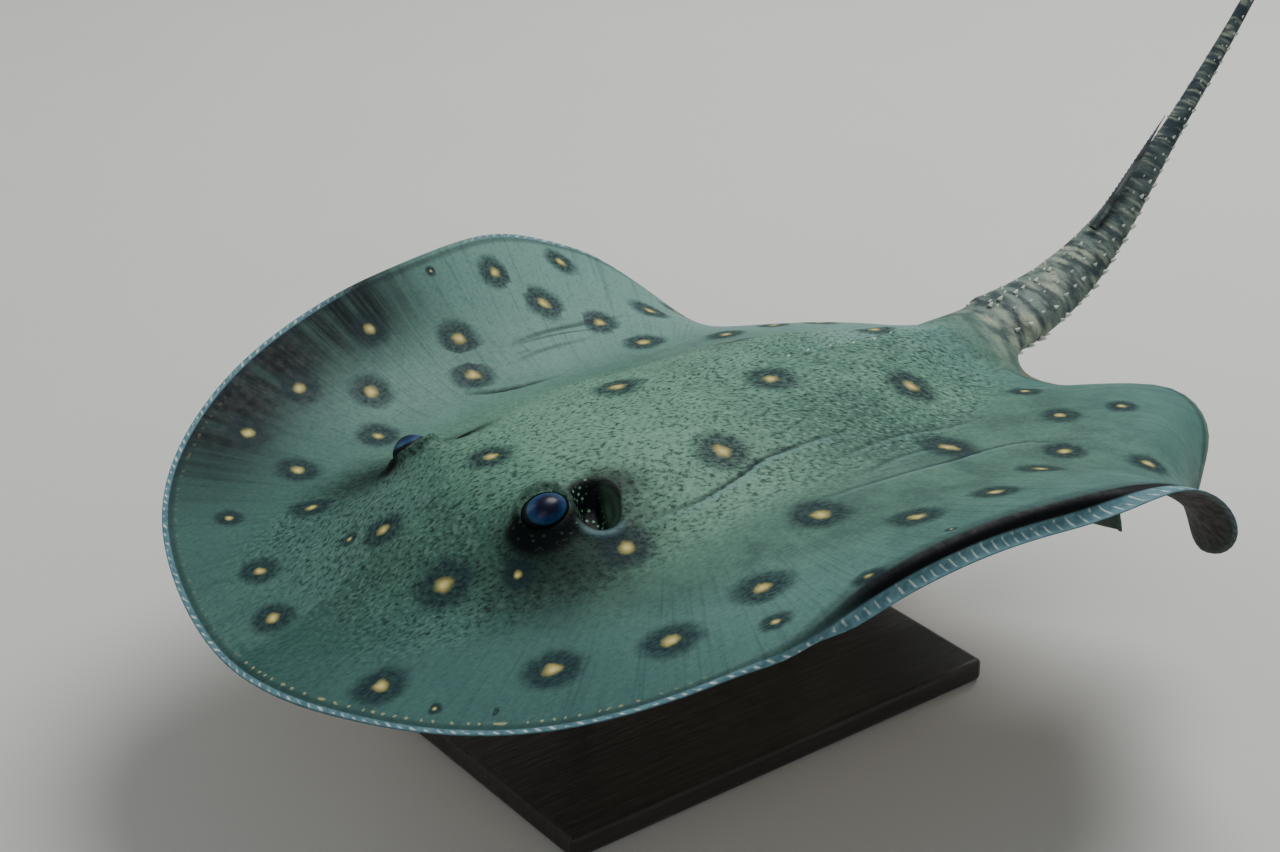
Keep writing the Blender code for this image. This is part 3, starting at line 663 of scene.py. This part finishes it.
class Finish:
    """A finish built up layer by layer. Each call adds one node and gives back its output."""

    def __init__(self, name):
        self.material = bpy.data.materials.new(name)
        self.material.use_nodes = True
        self.tree = self.material.node_tree
        self.shader = self.tree.nodes["Principled BSDF"]

    def add(self, kind, output, inputs, **settings):
        node = self.tree.nodes.new(kind)
        for key, value in settings.items():
            setattr(node, key, value)
        for key, value in inputs.items():
            if isinstance(value, bpy.types.NodeSocket):
                self.tree.links.new(value, node.inputs[key])
            else:
                node.inputs[key].default_value = value
        return node.outputs[output]

    def kept(self, name):
        return self.add("ShaderNodeAttribute", "Vector", {}, attribute_name=name)

    def parts(self, vector):
        node = self.tree.nodes.new("ShaderNodeSeparateXYZ")
        self.tree.links.new(vector, node.inputs[0])
        return node.outputs[0], node.outputs[1], node.outputs[2]

    def join(self, x, y, z):
        return self.add("ShaderNodeCombineXYZ", 0, {0: x, 1: y, 2: z})

    def sum(self, operation, first, second=0.0, third=0.0):
        return self.add("ShaderNodeMath", 0, {0: first, 1: second, 2: third}, operation=operation)

    def times(self, first, *others):
        for other in others:
            first = self.sum("MULTIPLY", first, other)
        return first

    def rest(self, value):
        return self.sum("SUBTRACT", 1.0, value)

    def ease(self, value, start, end, low=0.0, high=1.0):
        return self.add("ShaderNodeMapRange", 0, {"Value": value, "From Min": start, "From Max": end,
                                                  "To Min": low, "To Max": high},
                        interpolation_type="SMOOTHSTEP")

    def level(self, value, start, full, fading, end):
        return self.times(self.ease(value, start, full), self.ease(value, end, fading))

    def apart(self, value, place):
        return self.sum("ABSOLUTE", self.sum("SUBTRACT", value, place))

    def shift(self, vector, by, operation="ADD"):
        return self.add("ShaderNodeVectorMath", 0, {0: vector, 1: by}, operation=operation)

    def stretch(self, vector, size):
        return self.shift(vector, size, "MULTIPLY")

    def length(self, vector):
        return self.add("ShaderNodeVectorMath", "Value", {0: vector}, operation="LENGTH")

    def cloud(self, vector, scale, detail=3.0, rough=0.55):
        return self.add("ShaderNodeTexNoise", 0, {"Vector": vector, "Scale": scale, "Detail": detail,
                                                  "Roughness": rough})

    def cells(self, vector, scale, output="Distance"):
        return self.add("ShaderNodeTexVoronoi", output, {"Vector": vector, "Scale": scale})

    def paint(self, under, over, *amounts, blend_type="MIX"):
        """Lay one colour over another, by the product of the amounts."""
        return self.add("ShaderNodeMix", 2, {0: self.times(*amounts), 6: under, 7: over},
                        data_type="RGBA", blend_type=blend_type)

    def coat(self, tint, *amounts, blend_type="MIX"):
        """Lay one more coat over all that the finish has so far."""
        self.colour = self.paint(self.colour, tint, *amounts, blend_type=blend_type)

    def glaze(self, tint, *amounts):
        self.coat(tint, *amounts, blend_type="MULTIPLY")

    def lay(self, thing, colour, roughness, height=None, depth=0.001):
        self.tree.links.new(colour, self.shader.inputs["Base Color"])
        if isinstance(roughness, float):
            self.shader.inputs["Roughness"].default_value = roughness
        else:
            self.tree.links.new(roughness, self.shader.inputs["Roughness"])
        if height is not None:
            bump = self.add("ShaderNodeBump", 0, {"Height": height, "Distance": depth, "Strength": 1.0})
            self.tree.links.new(bump, self.shader.inputs["Normal"])
        thing.data.materials.clear()
        thing.data.materials.append(self.material)


def tone(red, green, blue):
    """A colour from its three parts out of 255, as a paint chart gives them."""
    parts = [part / 255 for part in (red, green, blue)]
    return (*[p / 12.92 if p < 0.04045 else ((p + 0.055) / 1.055) ** 2.4 for p in parts], 1.0)


wet = Finish("wet_skin")
flat = wet.kept("flat")
flat_x, flat_y, _ = wet.parts(flat)
inward, brim, under = wet.parts(wet.kept("margin"))
round_disc, out_share, is_left = wet.parts(wet.kept("ray"))
freckled, dusk, black = wet.parts(wet.kept("zone"))
rimlight, valve, dotted = wet.parts(wet.kept("spiracle"))
on_tail, tail_mm, pelvic = wet.parts(wet.kept("tail"))
fold_mm, fold_strength, slit = wet.parts(wet.kept("fold"))
in_fold, dark_edge, dark_fin = wet.parts(wet.kept("rim"))
along_grain = wet.kept("grain")
off_tail = wet.rest(on_tail)
back_side = wet.rest(under)

# the ground colour, cloudy, bluer toward the margin, with painted shade darkening it toward the snout
clouds = wet.cloud(flat, 38, 4)
ground = wet.paint(tone(78, 116, 102), tone(96, 137, 119), wet.ease(clouds, 0.35, 0.65))
fin_ground = wet.paint(
    tone(72, 104, 94), tone(86, 122, 108), wet.ease(wet.cloud(flat, 60, 3), 0.35, 0.65))
wet.colour = wet.paint(fin_ground, ground, freckled)
outer = wet.times(wet.ease(out_share, 0.62, 0.97), off_tail)
wet.coat(tone(80, 122, 118), outer, 0.6)
# painted light: the outer front of the left fin is lightened where it curves down
left_front_light = wet.level(round_disc, 4, 22, 62, 88)
left_front_light = wet.times(wet.ease(out_share, 0.6, 0.8), left_front_light, is_left)
wet.coat(tone(104, 144, 138), left_front_light, 0.62)
# painted shade: the outer front of the right fin is glazed darker
right_front_shade = wet.level(round_disc, 4, 18, 44, 62)
right_front_shade = wet.times(wet.ease(out_share, 0.55, 0.8), right_front_shade, wet.rest(is_left))
wet.glaze(tone(196, 216, 220), right_front_shade)
right_fin = wet.times(wet.ease(out_share, 0.42, 0.66), wet.rest(is_left), off_tail)
wet.coat(tone(118, 156, 146), right_fin, wet.ease(round_disc, 84, 104, 0.48, 0.74))
# painted shade: the head is glazed darker toward the snout
snout_shade = wet.ease(flat_y, -0.03, -0.14)
wet.glaze(tone(186, 200, 200), snout_shade)
crown = wet.times(freckled, wet.level(flat_y, -0.11, -0.06, -0.01, 0.06))
wet.coat(tone(112, 156, 132), crown, 0.55)
flank = wet.times(freckled, wet.level(flat_y, -0.02, 0.02, 0.07, 0.11))
flank = wet.times(flank, wet.ease(flat_x, 0.02, 0.055))
wet.glaze(tone(206, 216, 216), flank)

# fin rays: fine streaks that run outward, and a dark, barred edge on the raised right fin
rays = wet.cloud(wet.join(wet.times(round_disc, 1.25), wet.times(out_share, 2.6), is_left), 1, 3, 0.6)
on_fin = wet.times(wet.ease(out_share, 0.45, 0.75), off_tail)
wet.coat(tone(38, 62, 66), wet.ease(rays, 0.48, 0.72), on_fin, 0.34)
bars = wet.cloud(wet.join(wet.times(round_disc, 0.5), wet.times(out_share, 1.3), 0), 1, 4, 0.65)
wet.coat(tone(2, 15, 17), dark_fin, wet.ease(bars, 0.3, 0.6, 0.68, 1))

# freckles: short dark and pale dashes that lie along the head and back, fainter on the fins
streaky = wet.cloud(along_grain, 760, 2, 0.5)
broken = wet.cloud(along_grain, 1150, 1, 0.5)
grain = wet.cloud(flat, 260, 3, 0.6)
dark_marks = wet.times(wet.ease(streaky, 0.51, 0.66), wet.ease(broken, 0.3, 0.55, 0.55, 1))
pale_marks = wet.ease(streaky, 0.46, 0.34)
how_much = wet.times(wet.ease(freckled, 0, 0.9, 0.22, 1), back_side, wet.ease(grain, 0.3, 0.6, 0.65, 1))
how_much = wet.times(how_much, wet.ease(tail_mm, 10, -25, 0.3, 1))
wet.coat(tone(20, 36, 34), dark_marks, how_much, 0.85)
pale_marks = wet.times(pale_marks, wet.ease(snout_shade, 0, 1, 0.46, 0.22), wet.rest(dark_fin))
wet.coat(tone(140, 174, 154), pale_marks, how_much)

# the dusky patch round each eye and spiracle
dusk = wet.ease(wet.sum("ADD", dusk, wet.times(wet.sum("SUBTRACT", grain, 0.5), 0.5)), 0.1, 0.95)
wet.coat(tone(6, 21, 20), dusk, 0.84)

# folds: painted shade as a soft dark line in the valley, and a painted highlight as a pale line on the
# ridge outside it
valley = wet.ease(wet.apart(fold_mm, -0.5), 2, 0.2)
valley = wet.times(valley, fold_strength, 0.88)
ridge_highlight = wet.ease(wet.apart(fold_mm, 2.3), 1.7, 0.3)
ridge_highlight = wet.times(ridge_highlight, fold_strength, wet.ease(is_left, 0, 1, 0.12, 0.62))
wet.coat(tone(20, 36, 40), valley)
wet.coat(tone(112, 146, 146), ridge_highlight)

# eye-spots: a small cream-yellow core, and a soft dark ring round it
wobble = wet.add("ShaderNodeTexNoise", "Color", {"Vector": flat, "Scale": 170, "Detail": 3})
wobble = wet.stretch(wet.shift(wobble, (-0.5, -0.5, -0.5)), (0.3, 0.3, 0))
from_spot = wet.length(wet.shift(wet.kept("spot"), wobble))
ring = wet.ease(from_spot, 1.05, 0.52)
ring = wet.times(ring, wet.ease(streaky, 0.35, 0.65, 0.72, 0.96))
core = wet.ease(from_spot, 0.31, 0.14)
heart = wet.ease(from_spot, 0.2, 0)
wet.coat(tone(22, 40, 46), ring, back_side, 0.94)
wet.coat(tone(150, 142, 84), core, back_side)
wet.coat(tone(222, 204, 136), heart, back_side)

# black skin round the eye and in the spiracle, with pale green dots, and the valve behind
wet.coat(tone(3, 12, 12), wet.ease(black, 0.12, 0.8))
dots = wet.cells(wet.stretch(flat, (1, 1, 1.3)), 400)
dots = wet.times(wet.ease(dots, 0.34, 0.2), wet.ease(black, 0.4, 0.8), dotted)
wet.coat(tone(32, 56, 42), valve, 0.9)
wet.coat(tone(116, 160, 130), dots, 0.85)
wet.coat(tone(104, 136, 142), rimlight, wet.ease(grain, 0.3, 0.6, 0.35, 0.75))

# the margin: a pale blue edge with fine white dashes; where the left margin is rolled under, a black
# band of painted shade lies inside it; small cream dots follow the edge in front
edge_band = wet.times(wet.ease(brim, 1.12, 0.84), off_tail, wet.ease(round_disc, 135, 118))
edge_band = wet.times(edge_band, wet.rest(dark_edge))
edge_line = wet.level(brim, 0.8, 1.05, 1.5, 2.6)
# painted shade: the black band in the rolled-under fold of the left margin
fold_shade_band = wet.level(brim, 0.78, 0.94, 1.32, 1.58)
edge_tone = wet.paint(tone(80, 118, 130), tone(104, 144, 154), wet.ease(grain, 0.35, 0.65))
wet.coat(tone(16, 30, 36), edge_line, off_tail, 0.45)
wet.coat(edge_tone, edge_band, 0.88)
wet.coat(tone(5, 9, 13), fold_shade_band, in_fold)
tick_end = wet.ease(wet.cloud(flat, 210, 1), 0.35, 0.65, 0.5, 0.92)
dash = wet.sum("ADD", round_disc, wet.sum("ADD", wet.times(brim, 0.9), wet.times(clouds, 2.6)))
dash = wet.apart(wet.sum("FRACT", wet.times(dash, 0.7)), 0.5)
dash = wet.times(wet.ease(wet.sum("ADD", dash, wet.times(in_fold, 0.05)), 0.2, 0.09), edge_band)
dash = wet.times(
    dash, wet.ease(brim, 0.1, 0.26), wet.ease(brim, tick_end, wet.sum("SUBTRACT", tick_end, 0.22)))
wet.coat(tone(200, 212, 204), dash, wet.ease(grain, 0.35, 0.55, 0.4, 0.9))
row = wet.sum("FRACT", wet.times(wet.sum("ADD", round_disc, wet.times(clouds, 9)), 0.62))
row = wet.length(
    wet.join(wet.times(wet.sum("SUBTRACT", row, 0.5), 5), wet.sum("SUBTRACT", inward, 5.2), 0))
row = wet.times(wet.ease(row, 1, 0.3), wet.ease(round_disc, 62, 40), wet.ease(is_left, 0, 1, 0.15, 0.8))
wet.coat(tone(168, 164, 120), row, back_side)
rear_edge = wet.times(wet.ease(inward, 2, 0.6), wet.ease(round_disc, 122, 134))
wet.coat(tone(120, 104, 78), rear_edge, 0.6, off_tail)

# the tail: uneven cream-grey bars across a dark grey, closer and smaller toward the tip
bent = wet.add("ShaderNodeTexNoise", "Color", {"Vector": flat, "Scale": 150, "Detail": 2})
bent = wet.shift(flat, wet.stretch(bent, (0.006, 0.006, 0.004)))
patch_size = wet.ease(tail_mm, 60, 220, 120, 210)
patches = wet.add(
    "ShaderNodeTexVoronoi", 0, {"Vector": wet.stretch(bent, (0.42, 1.25, 0.42)), "Scale": patch_size})
tail_ground = wet.paint(
    tone(116, 132, 124), tone(66, 78, 80),
    wet.ease(wet.cloud(wet.stretch(flat, (0.5, 1.3, 0.5)), 150, 3), 0.38, 0.6))
patched = wet.times(wet.ease(patches, 0.5, 0.1), wet.ease(grain, 0.28, 0.55, 0.45, 0.92))
tail_colour = wet.paint(tail_ground, tone(52, 64, 76), wet.ease(tail_mm, 85, 160), 0.6)
tail_colour = wet.paint(tail_colour, tone(170, 178, 156), patched, wet.ease(tail_mm, 60, 150, 1, 0.72))
wet.coat(tail_colour, wet.ease(tail_mm, -10, 26), on_tail)

# the underside: cream, with a mottled brown border, darkest at the edge where painted shade deepens it
# to near black, and dark slits
border = wet.ease(
    wet.sum("ADD", out_share, wet.times(wet.sum("SUBTRACT", clouds, 0.5), 0.5)), 0.7, 0.88)
belly = wet.paint(tone(206, 196, 176), tone(188, 172, 150), wet.ease(wet.cloud(flat, 55, 4), 0.4, 0.65))
mottle_and_shade = wet.paint(tone(78, 70, 60), tone(50, 44, 38), wet.ease(wet.cloud(flat, 95, 4), 0.4, 0.6))
# painted shade: the outermost brown border is taken to near black
mottle_and_shade = wet.paint(mottle_and_shade, tone(12, 9, 4), wet.ease(out_share, 0.8, 0.94, 0, 0.95))
belly = wet.paint(belly, mottle_and_shade, wet.sum("MAXIMUM", border, wet.times(on_tail, 0.75)))
belly = wet.paint(belly, tone(70, 44, 40), wet.ease(slit, 0.25, 0.7))
wet.coat(belly, under)

fine = wet.cloud(flat, 900, 2, 0.6)
height = wet.sum("ADD", wet.times(fine, 0.1), wet.times(grain, 0.2))
height = wet.sum("SUBTRACT", height, wet.times(dark_marks, freckled, 0.14))
height = wet.sum("ADD", height, wet.times(rays, on_fin, 0.35))
height = wet.sum("SUBTRACT", height, wet.times(valley, 0.4))
sheen = wet.ease(grain, 0.3, 0.7, 0.46, 0.62)
wet.lay(skin, wet.colour, sheen, height, 0.0006)
wet.shader.inputs["Specular IOR Level"].default_value = 0.1


# ---------------- Eyes
# Two domed eyes, each an eyeball in its socket on the head: a wide dark blue pupil in a paler blue
# iris under a clear wet cornea. Each is a turned ball, a little fuller where it looks out.

def add_eye(name, side):
    bm = bmesh.new()
    middle = eyeball(bm, side, 0.0, 64, 48)
    look = Vector((side * 0.6, -0.13, 0.79)).normalized()
    gaze = []
    for vertex in bm.verts:
        away = vertex.co - middle
        toward = away.normalized().dot(look)
        vertex.co = middle + away * (1 + 0.03 * float(eased(toward, 0.75, 1.0)))
        gaze.append((math.degrees(math.acos(max(-1.0, min(1.0, toward)))), 0, 0))
    eye = as_object(name, bm)
    keep(eye.data, "gaze", gaze)
    take_pose(eye)
    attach(eye, "root")
    return eye


eyes = {"left_eyeball": add_eye("left_eyeball", 1), "right_eyeball": add_eye("right_eyeball", -1)}
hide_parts("eye_left")
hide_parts("eye_right")
for name, eye in eyes.items():
    glass = Finish(name)
    gaze = glass.parts(glass.kept("gaze"))[0]
    streak = glass.cloud(glass.kept("flat"), 700, 3)
    gaze = glass.sum("ADD", gaze, glass.times(glass.sum("SUBTRACT", streak, 0.5), 7))
    iris = glass.paint(tone(12, 42, 96), tone(24, 62, 112), glass.ease(streak, 0.4, 0.6))
    colour = glass.paint(tone(2, 9, 40), iris, glass.ease(gaze, 26, 54))
    colour = glass.paint(colour, tone(34, 84, 104), glass.ease(gaze, 48, 58), 0.6)
    colour = glass.paint(colour, tone(5, 9, 12), glass.ease(gaze, 58, 66))
    glass.lay(eye, colour, glass.ease(gaze, 56, 68, 0.34, 0.6))
    glass.tree.links.new(glass.ease(gaze, 70.0, 56.0, 0.0, 0.16), glass.shader.inputs["Coat Weight"])
    glass.shader.inputs["Coat Roughness"].default_value = 0.16
    glass.shader.inputs["Coat IOR"].default_value = 1.34
    glass.shader.inputs["Specular IOR Level"].default_value = 0.2


# ---------------- Thorns
# Small sharp thorns of dentine that lean back: rows along the top and both sides of the tail, with
# a few on the midline of the back. Each is a drawn-in cone set into the skin.

def thorn(bm, place, normal, size, sides=8):
    lean = (normal + Vector((0, 0.85, 0))).normalized()
    turned = lean.to_track_quat("Z", "Y").to_matrix().to_4x4()
    frame_here = Matrix.Translation(place - normal * 0.0004) @ turned
    made = bmesh.ops.create_cone(bm, cap_ends=True, segments=sides, radius1=0.0017 * size,
                                 radius2=0.0012 * size, depth=0.001 * size,
                                 matrix=frame_here @ Matrix.Translation((0, 0, 0.0005 * size)))["verts"]
    top = max((f for f in bm.faces if f.verts[0] in made and len(f.verts) == sides),
              key=lambda f: (f.calc_center_median() - place).dot(lean))
    for rise, narrow in ((0.0006, 0.8), (0.0006, 0.66), (0.0005, 0.3)):
        top = bmesh.ops.extrude_discrete_faces(bm, faces=[top])["faces"][0]
        bmesh.ops.translate(bm, verts=top.verts, vec=lean * rise * size + Vector((0, 0.0002 * size, 0)))
        middle = top.calc_center_median()
        bmesh.ops.scale(bm, verts=top.verts, vec=(narrow,) * 3, space=Matrix.Translation(-middle))


def add_thorns():
    chance = np.random.default_rng(7)
    bm = bmesh.new()
    rows = [(90, np.arange(0.023, 0.09, 0.0078), 0.85), (74, np.arange(0.026, 0.088, 0.013), 0.55),
            (106, np.arange(0.026, 0.088, 0.013), 0.55)]
    for side in (-1, 1):
        rows += [(90 - 72 * side, np.arange(0.024, 0.23, 0.008), 0.72),
                 (90 - 102 * side, np.arange(0.022, 0.21, 0.0066), 1.1),
                 (90 - 44 * side, np.arange(0.03, 0.23, 0.01), 0.55)]
    for around, distances, size in rows:
        for distance in distances:
            turn = math.radians(around + chance.uniform(-4, 4))
            distance = float(distance + chance.uniform(-0.0018, 0.0018))
            out = Vector((math.cos(turn), 0, math.sin(turn)))
            axis = Vector((0, TAIL_ROOT_Y + distance, TAIL_AXIS_Z))
            place, normal = flat_surface.ray_cast(axis + out * 0.1, -out)[:2]
            if place is not None:
                here = size * chance.uniform(0.75, 1.15) * (0.42 + 0.58 * (1 - distance / 0.24))
                thorn(bm, place, normal, here)
    for y in np.arange(0.06, 0.128, 0.0115):
        origin = Vector((float(chance.uniform(-0.002, 0.002)), float(y), 0.1))
        place, normal = flat_surface.ray_cast(origin, Vector((0, 0, -1)))[:2]
        thorn(bm, place, normal, 0.42)
    return as_object("thorns", bm)


thorns = add_thorns()
take_pose(thorns)
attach(thorns, "root")
ivory = Finish("thorn_dentine")
flat = ivory.kept("flat")
colour = ivory.paint(
    tone(226, 230, 216), tone(184, 190, 178), ivory.ease(ivory.cloud(flat, 300), 0.4, 0.6))
ivory.lay(thorns, colour, 0.32, ivory.cloud(flat, 1500), 0.0002)


# ---------------- Sting
# A flat, pointed spine of hard dentine on top of the tail, with barbs along both edges that point
# back toward its root and a groove down its middle. It is a drawn-out bar whose edges are cut.

STING_ROOT = 0.096
STING_LENGTH = 0.062


def add_sting():
    height = TAIL_AXIS_Z + float(tail_half_height(STING_ROOT)) + 0.0004 + 0.0011
    bm = bmesh.new()
    bmesh.ops.create_circle(bm, cap_ends=True, segments=12, radius=1.0)
    upright = Matrix.Rotation(math.radians(90), 3, "X")
    bmesh.ops.rotate(bm, verts=bm.verts, cent=(0, 0, 0), matrix=upright)
    bmesh.ops.scale(bm, verts=bm.verts, vec=(0.0022, 1.0, 0.0011))
    bmesh.ops.translate(bm, verts=bm.verts, vec=(0, TAIL_ROOT_Y + STING_ROOT, height))
    steps = 96
    end = list(bm.faces)[0]
    last = 1.0
    last_barb = 1.0
    for k in range(1, steps + 1):
        share = k / steps
        taper = max(0.06, (1 - share**2.2) * (1 - 0.12 * share))
        barb = 1.0 + (0.32 * ((k % 4) / 3.0) * (1 if 0.12 < share < 0.94 else 0))
        end = bmesh.ops.extrude_discrete_faces(bm, faces=[end])["faces"][0]
        bmesh.ops.translate(bm, verts=end.verts, vec=(0, STING_LENGTH / steps, 0))
        middle = Vector((0, end.verts[0].co.y, height))
        bmesh.ops.scale(bm, verts=end.verts, space=Matrix.Translation(-middle),
                        vec=(taper * barb / (last * last_barb), 1.0, taper / last))
        last, last_barb = taper, barb
    for vertex in bm.verts:
        inside = 1 - min(1.0, abs(vertex.co.x) / 0.0007)
        if vertex.co.z > height:
            vertex.co.z -= 0.0004 * inside
    bmesh.ops.recalc_face_normals(bm, faces=bm.faces)
    return as_object("sting_blade", bm)


blade = add_sting()
take_pose(blade)
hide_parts("sting")
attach(blade, "root")
horn = Finish("sting_dentine")
flat = horn.kept("flat")
length_wise = horn.cloud(horn.stretch(flat, (1, 0.06, 1)), 900, 3)
colour = horn.paint(tone(92, 102, 100), tone(52, 62, 64), horn.ease(length_wise, 0.38, 0.64))
colour = horn.paint(colour, tone(34, 42, 46), horn.ease(horn.cloud(flat, 120), 0.5, 0.72))
horn.lay(blade, colour, 0.38, length_wise, 0.0003)


# ---------------- Stand
# A flat lacquered base and two short brushed steel rods that rise into the belly. They keep the
# shape of the frame, and only get their finish here.

lacquer = Finish("stand_base_lacquer")
place = lacquer.add("ShaderNodeTexCoord", "Object", {})
grain_lines = lacquer.cloud(lacquer.stretch(place, (1.0, 0.08, 1.0)), 420.0, 4.0, 0.6)
colour = lacquer.paint(tone(38, 36, 35), tone(52, 48, 45), lacquer.ease(grain_lines, 0.35, 0.7))
scuffs = lacquer.ease(lacquer.cloud(place, 60.0, 5.0, 0.65), 0.45, 0.72, 0.34, 0.5)
lacquer.lay(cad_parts["stand_base"], colour, scuffs, grain_lines, 0.0003)

steel = Finish("stand_rod_steel")
place = steel.add("ShaderNodeTexCoord", "Object", {})
brushed = steel.cloud(steel.stretch(place, (0.12, 0.12, 1.0)), 2600.0, 2.0)
colour = steel.paint(tone(150, 152, 154), tone(182, 184, 186), steel.ease(brushed, 0.3, 0.7))
gloss = steel.ease(brushed, 0.2, 0.8, 0.28, 0.42)
steel.lay(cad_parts["stand_rod_front"], colour, gloss, brushed, 0.0001)
steel.shader.inputs["Metallic"].default_value = 1.0
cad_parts["stand_rod_rear"].data.materials.clear()
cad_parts["stand_rod_rear"].data.materials.append(steel.material)


# ---------------- Room, light and camera
# A plain pale floor, a broad soft light overhead and behind, and two weak ones in front. The camera
# looks down on the animal's left side from in front; its place is given against the body.

base_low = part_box("stand_base")[0]
floor_mesh = bmesh.new()
bmesh.ops.create_grid(floor_mesh, x_segments=8, y_segments=8, size=20.0,
                      matrix=Matrix.Translation((0, 0, base_low.z - 0.0002)))
floor = as_object("floor", floor_mesh)
paper = Finish("floor_paper")
place = paper.add("ShaderNodeTexCoord", "Object", {})
colour = paper.paint(tone(206, 206, 202), tone(212, 212, 208), paper.cloud(place, 6.0, 4.0))
paper.lay(floor, colour, 0.85)


def soft_light(name, place, toward, size, power, colour=(1.0, 1.0, 1.0)):
    light = bpy.data.lights.new(name, "AREA")
    light.shape = "DISK"
    light.size = size
    light.energy = power
    light.color = colour
    lamp = put_in(name, light)
    lamp.location = place
    lamp.rotation_mode = "QUATERNION"
    lamp.rotation_quaternion = (Vector(toward) - Vector(place)).to_track_quat("-Z", "Y")


middle = (0.0, 0.05, 0.12)
soft_light("overhead", (-0.35, 1.05, 1.75), middle, 1.3, 38)
soft_light("front", (1.6, -1.3, 1.2), middle, 1.6, 6)
soft_light("side", (-1.5, -0.9, 1.3), middle, 1.2, 5)

room = bpy.data.worlds.new("room")
bpy.context.scene.world = room
room.use_nodes = True
room.node_tree.nodes["Background"].inputs["Color"].default_value = (0.8, 0.83, 0.84, 1.0)
room.node_tree.nodes["Background"].inputs["Strength"].default_value = 0.34

VIEW_TURN = math.radians(54.217)    # from straight ahead toward the animal's left
VIEW_HEIGHT = math.radians(26.459)
VIEW_ROLL = math.radians(-3.22)
VIEW_DISTANCE = 1.00574
VIEW_MIDDLE = Vector((-0.02179, 0, 0.00814))

lens = bpy.data.cameras.new("camera")
lens.sensor_width = 36.0
lens.lens = 70.19
camera = put_in("camera", lens)
toward = Matrix.Rotation(VIEW_TURN, 4, "Z") @ Matrix.Rotation(math.pi / 2 - VIEW_HEIGHT, 4, "X")
stand_off = Matrix.Translation((0, 0, VIEW_DISTANCE))
camera.matrix_world = (on_stand @ Matrix.Translation(VIEW_MIDDLE) @ toward @ stand_off
                       @ Matrix.Rotation(VIEW_ROLL, 4, "Z"))
bpy.context.scene.camera = camera
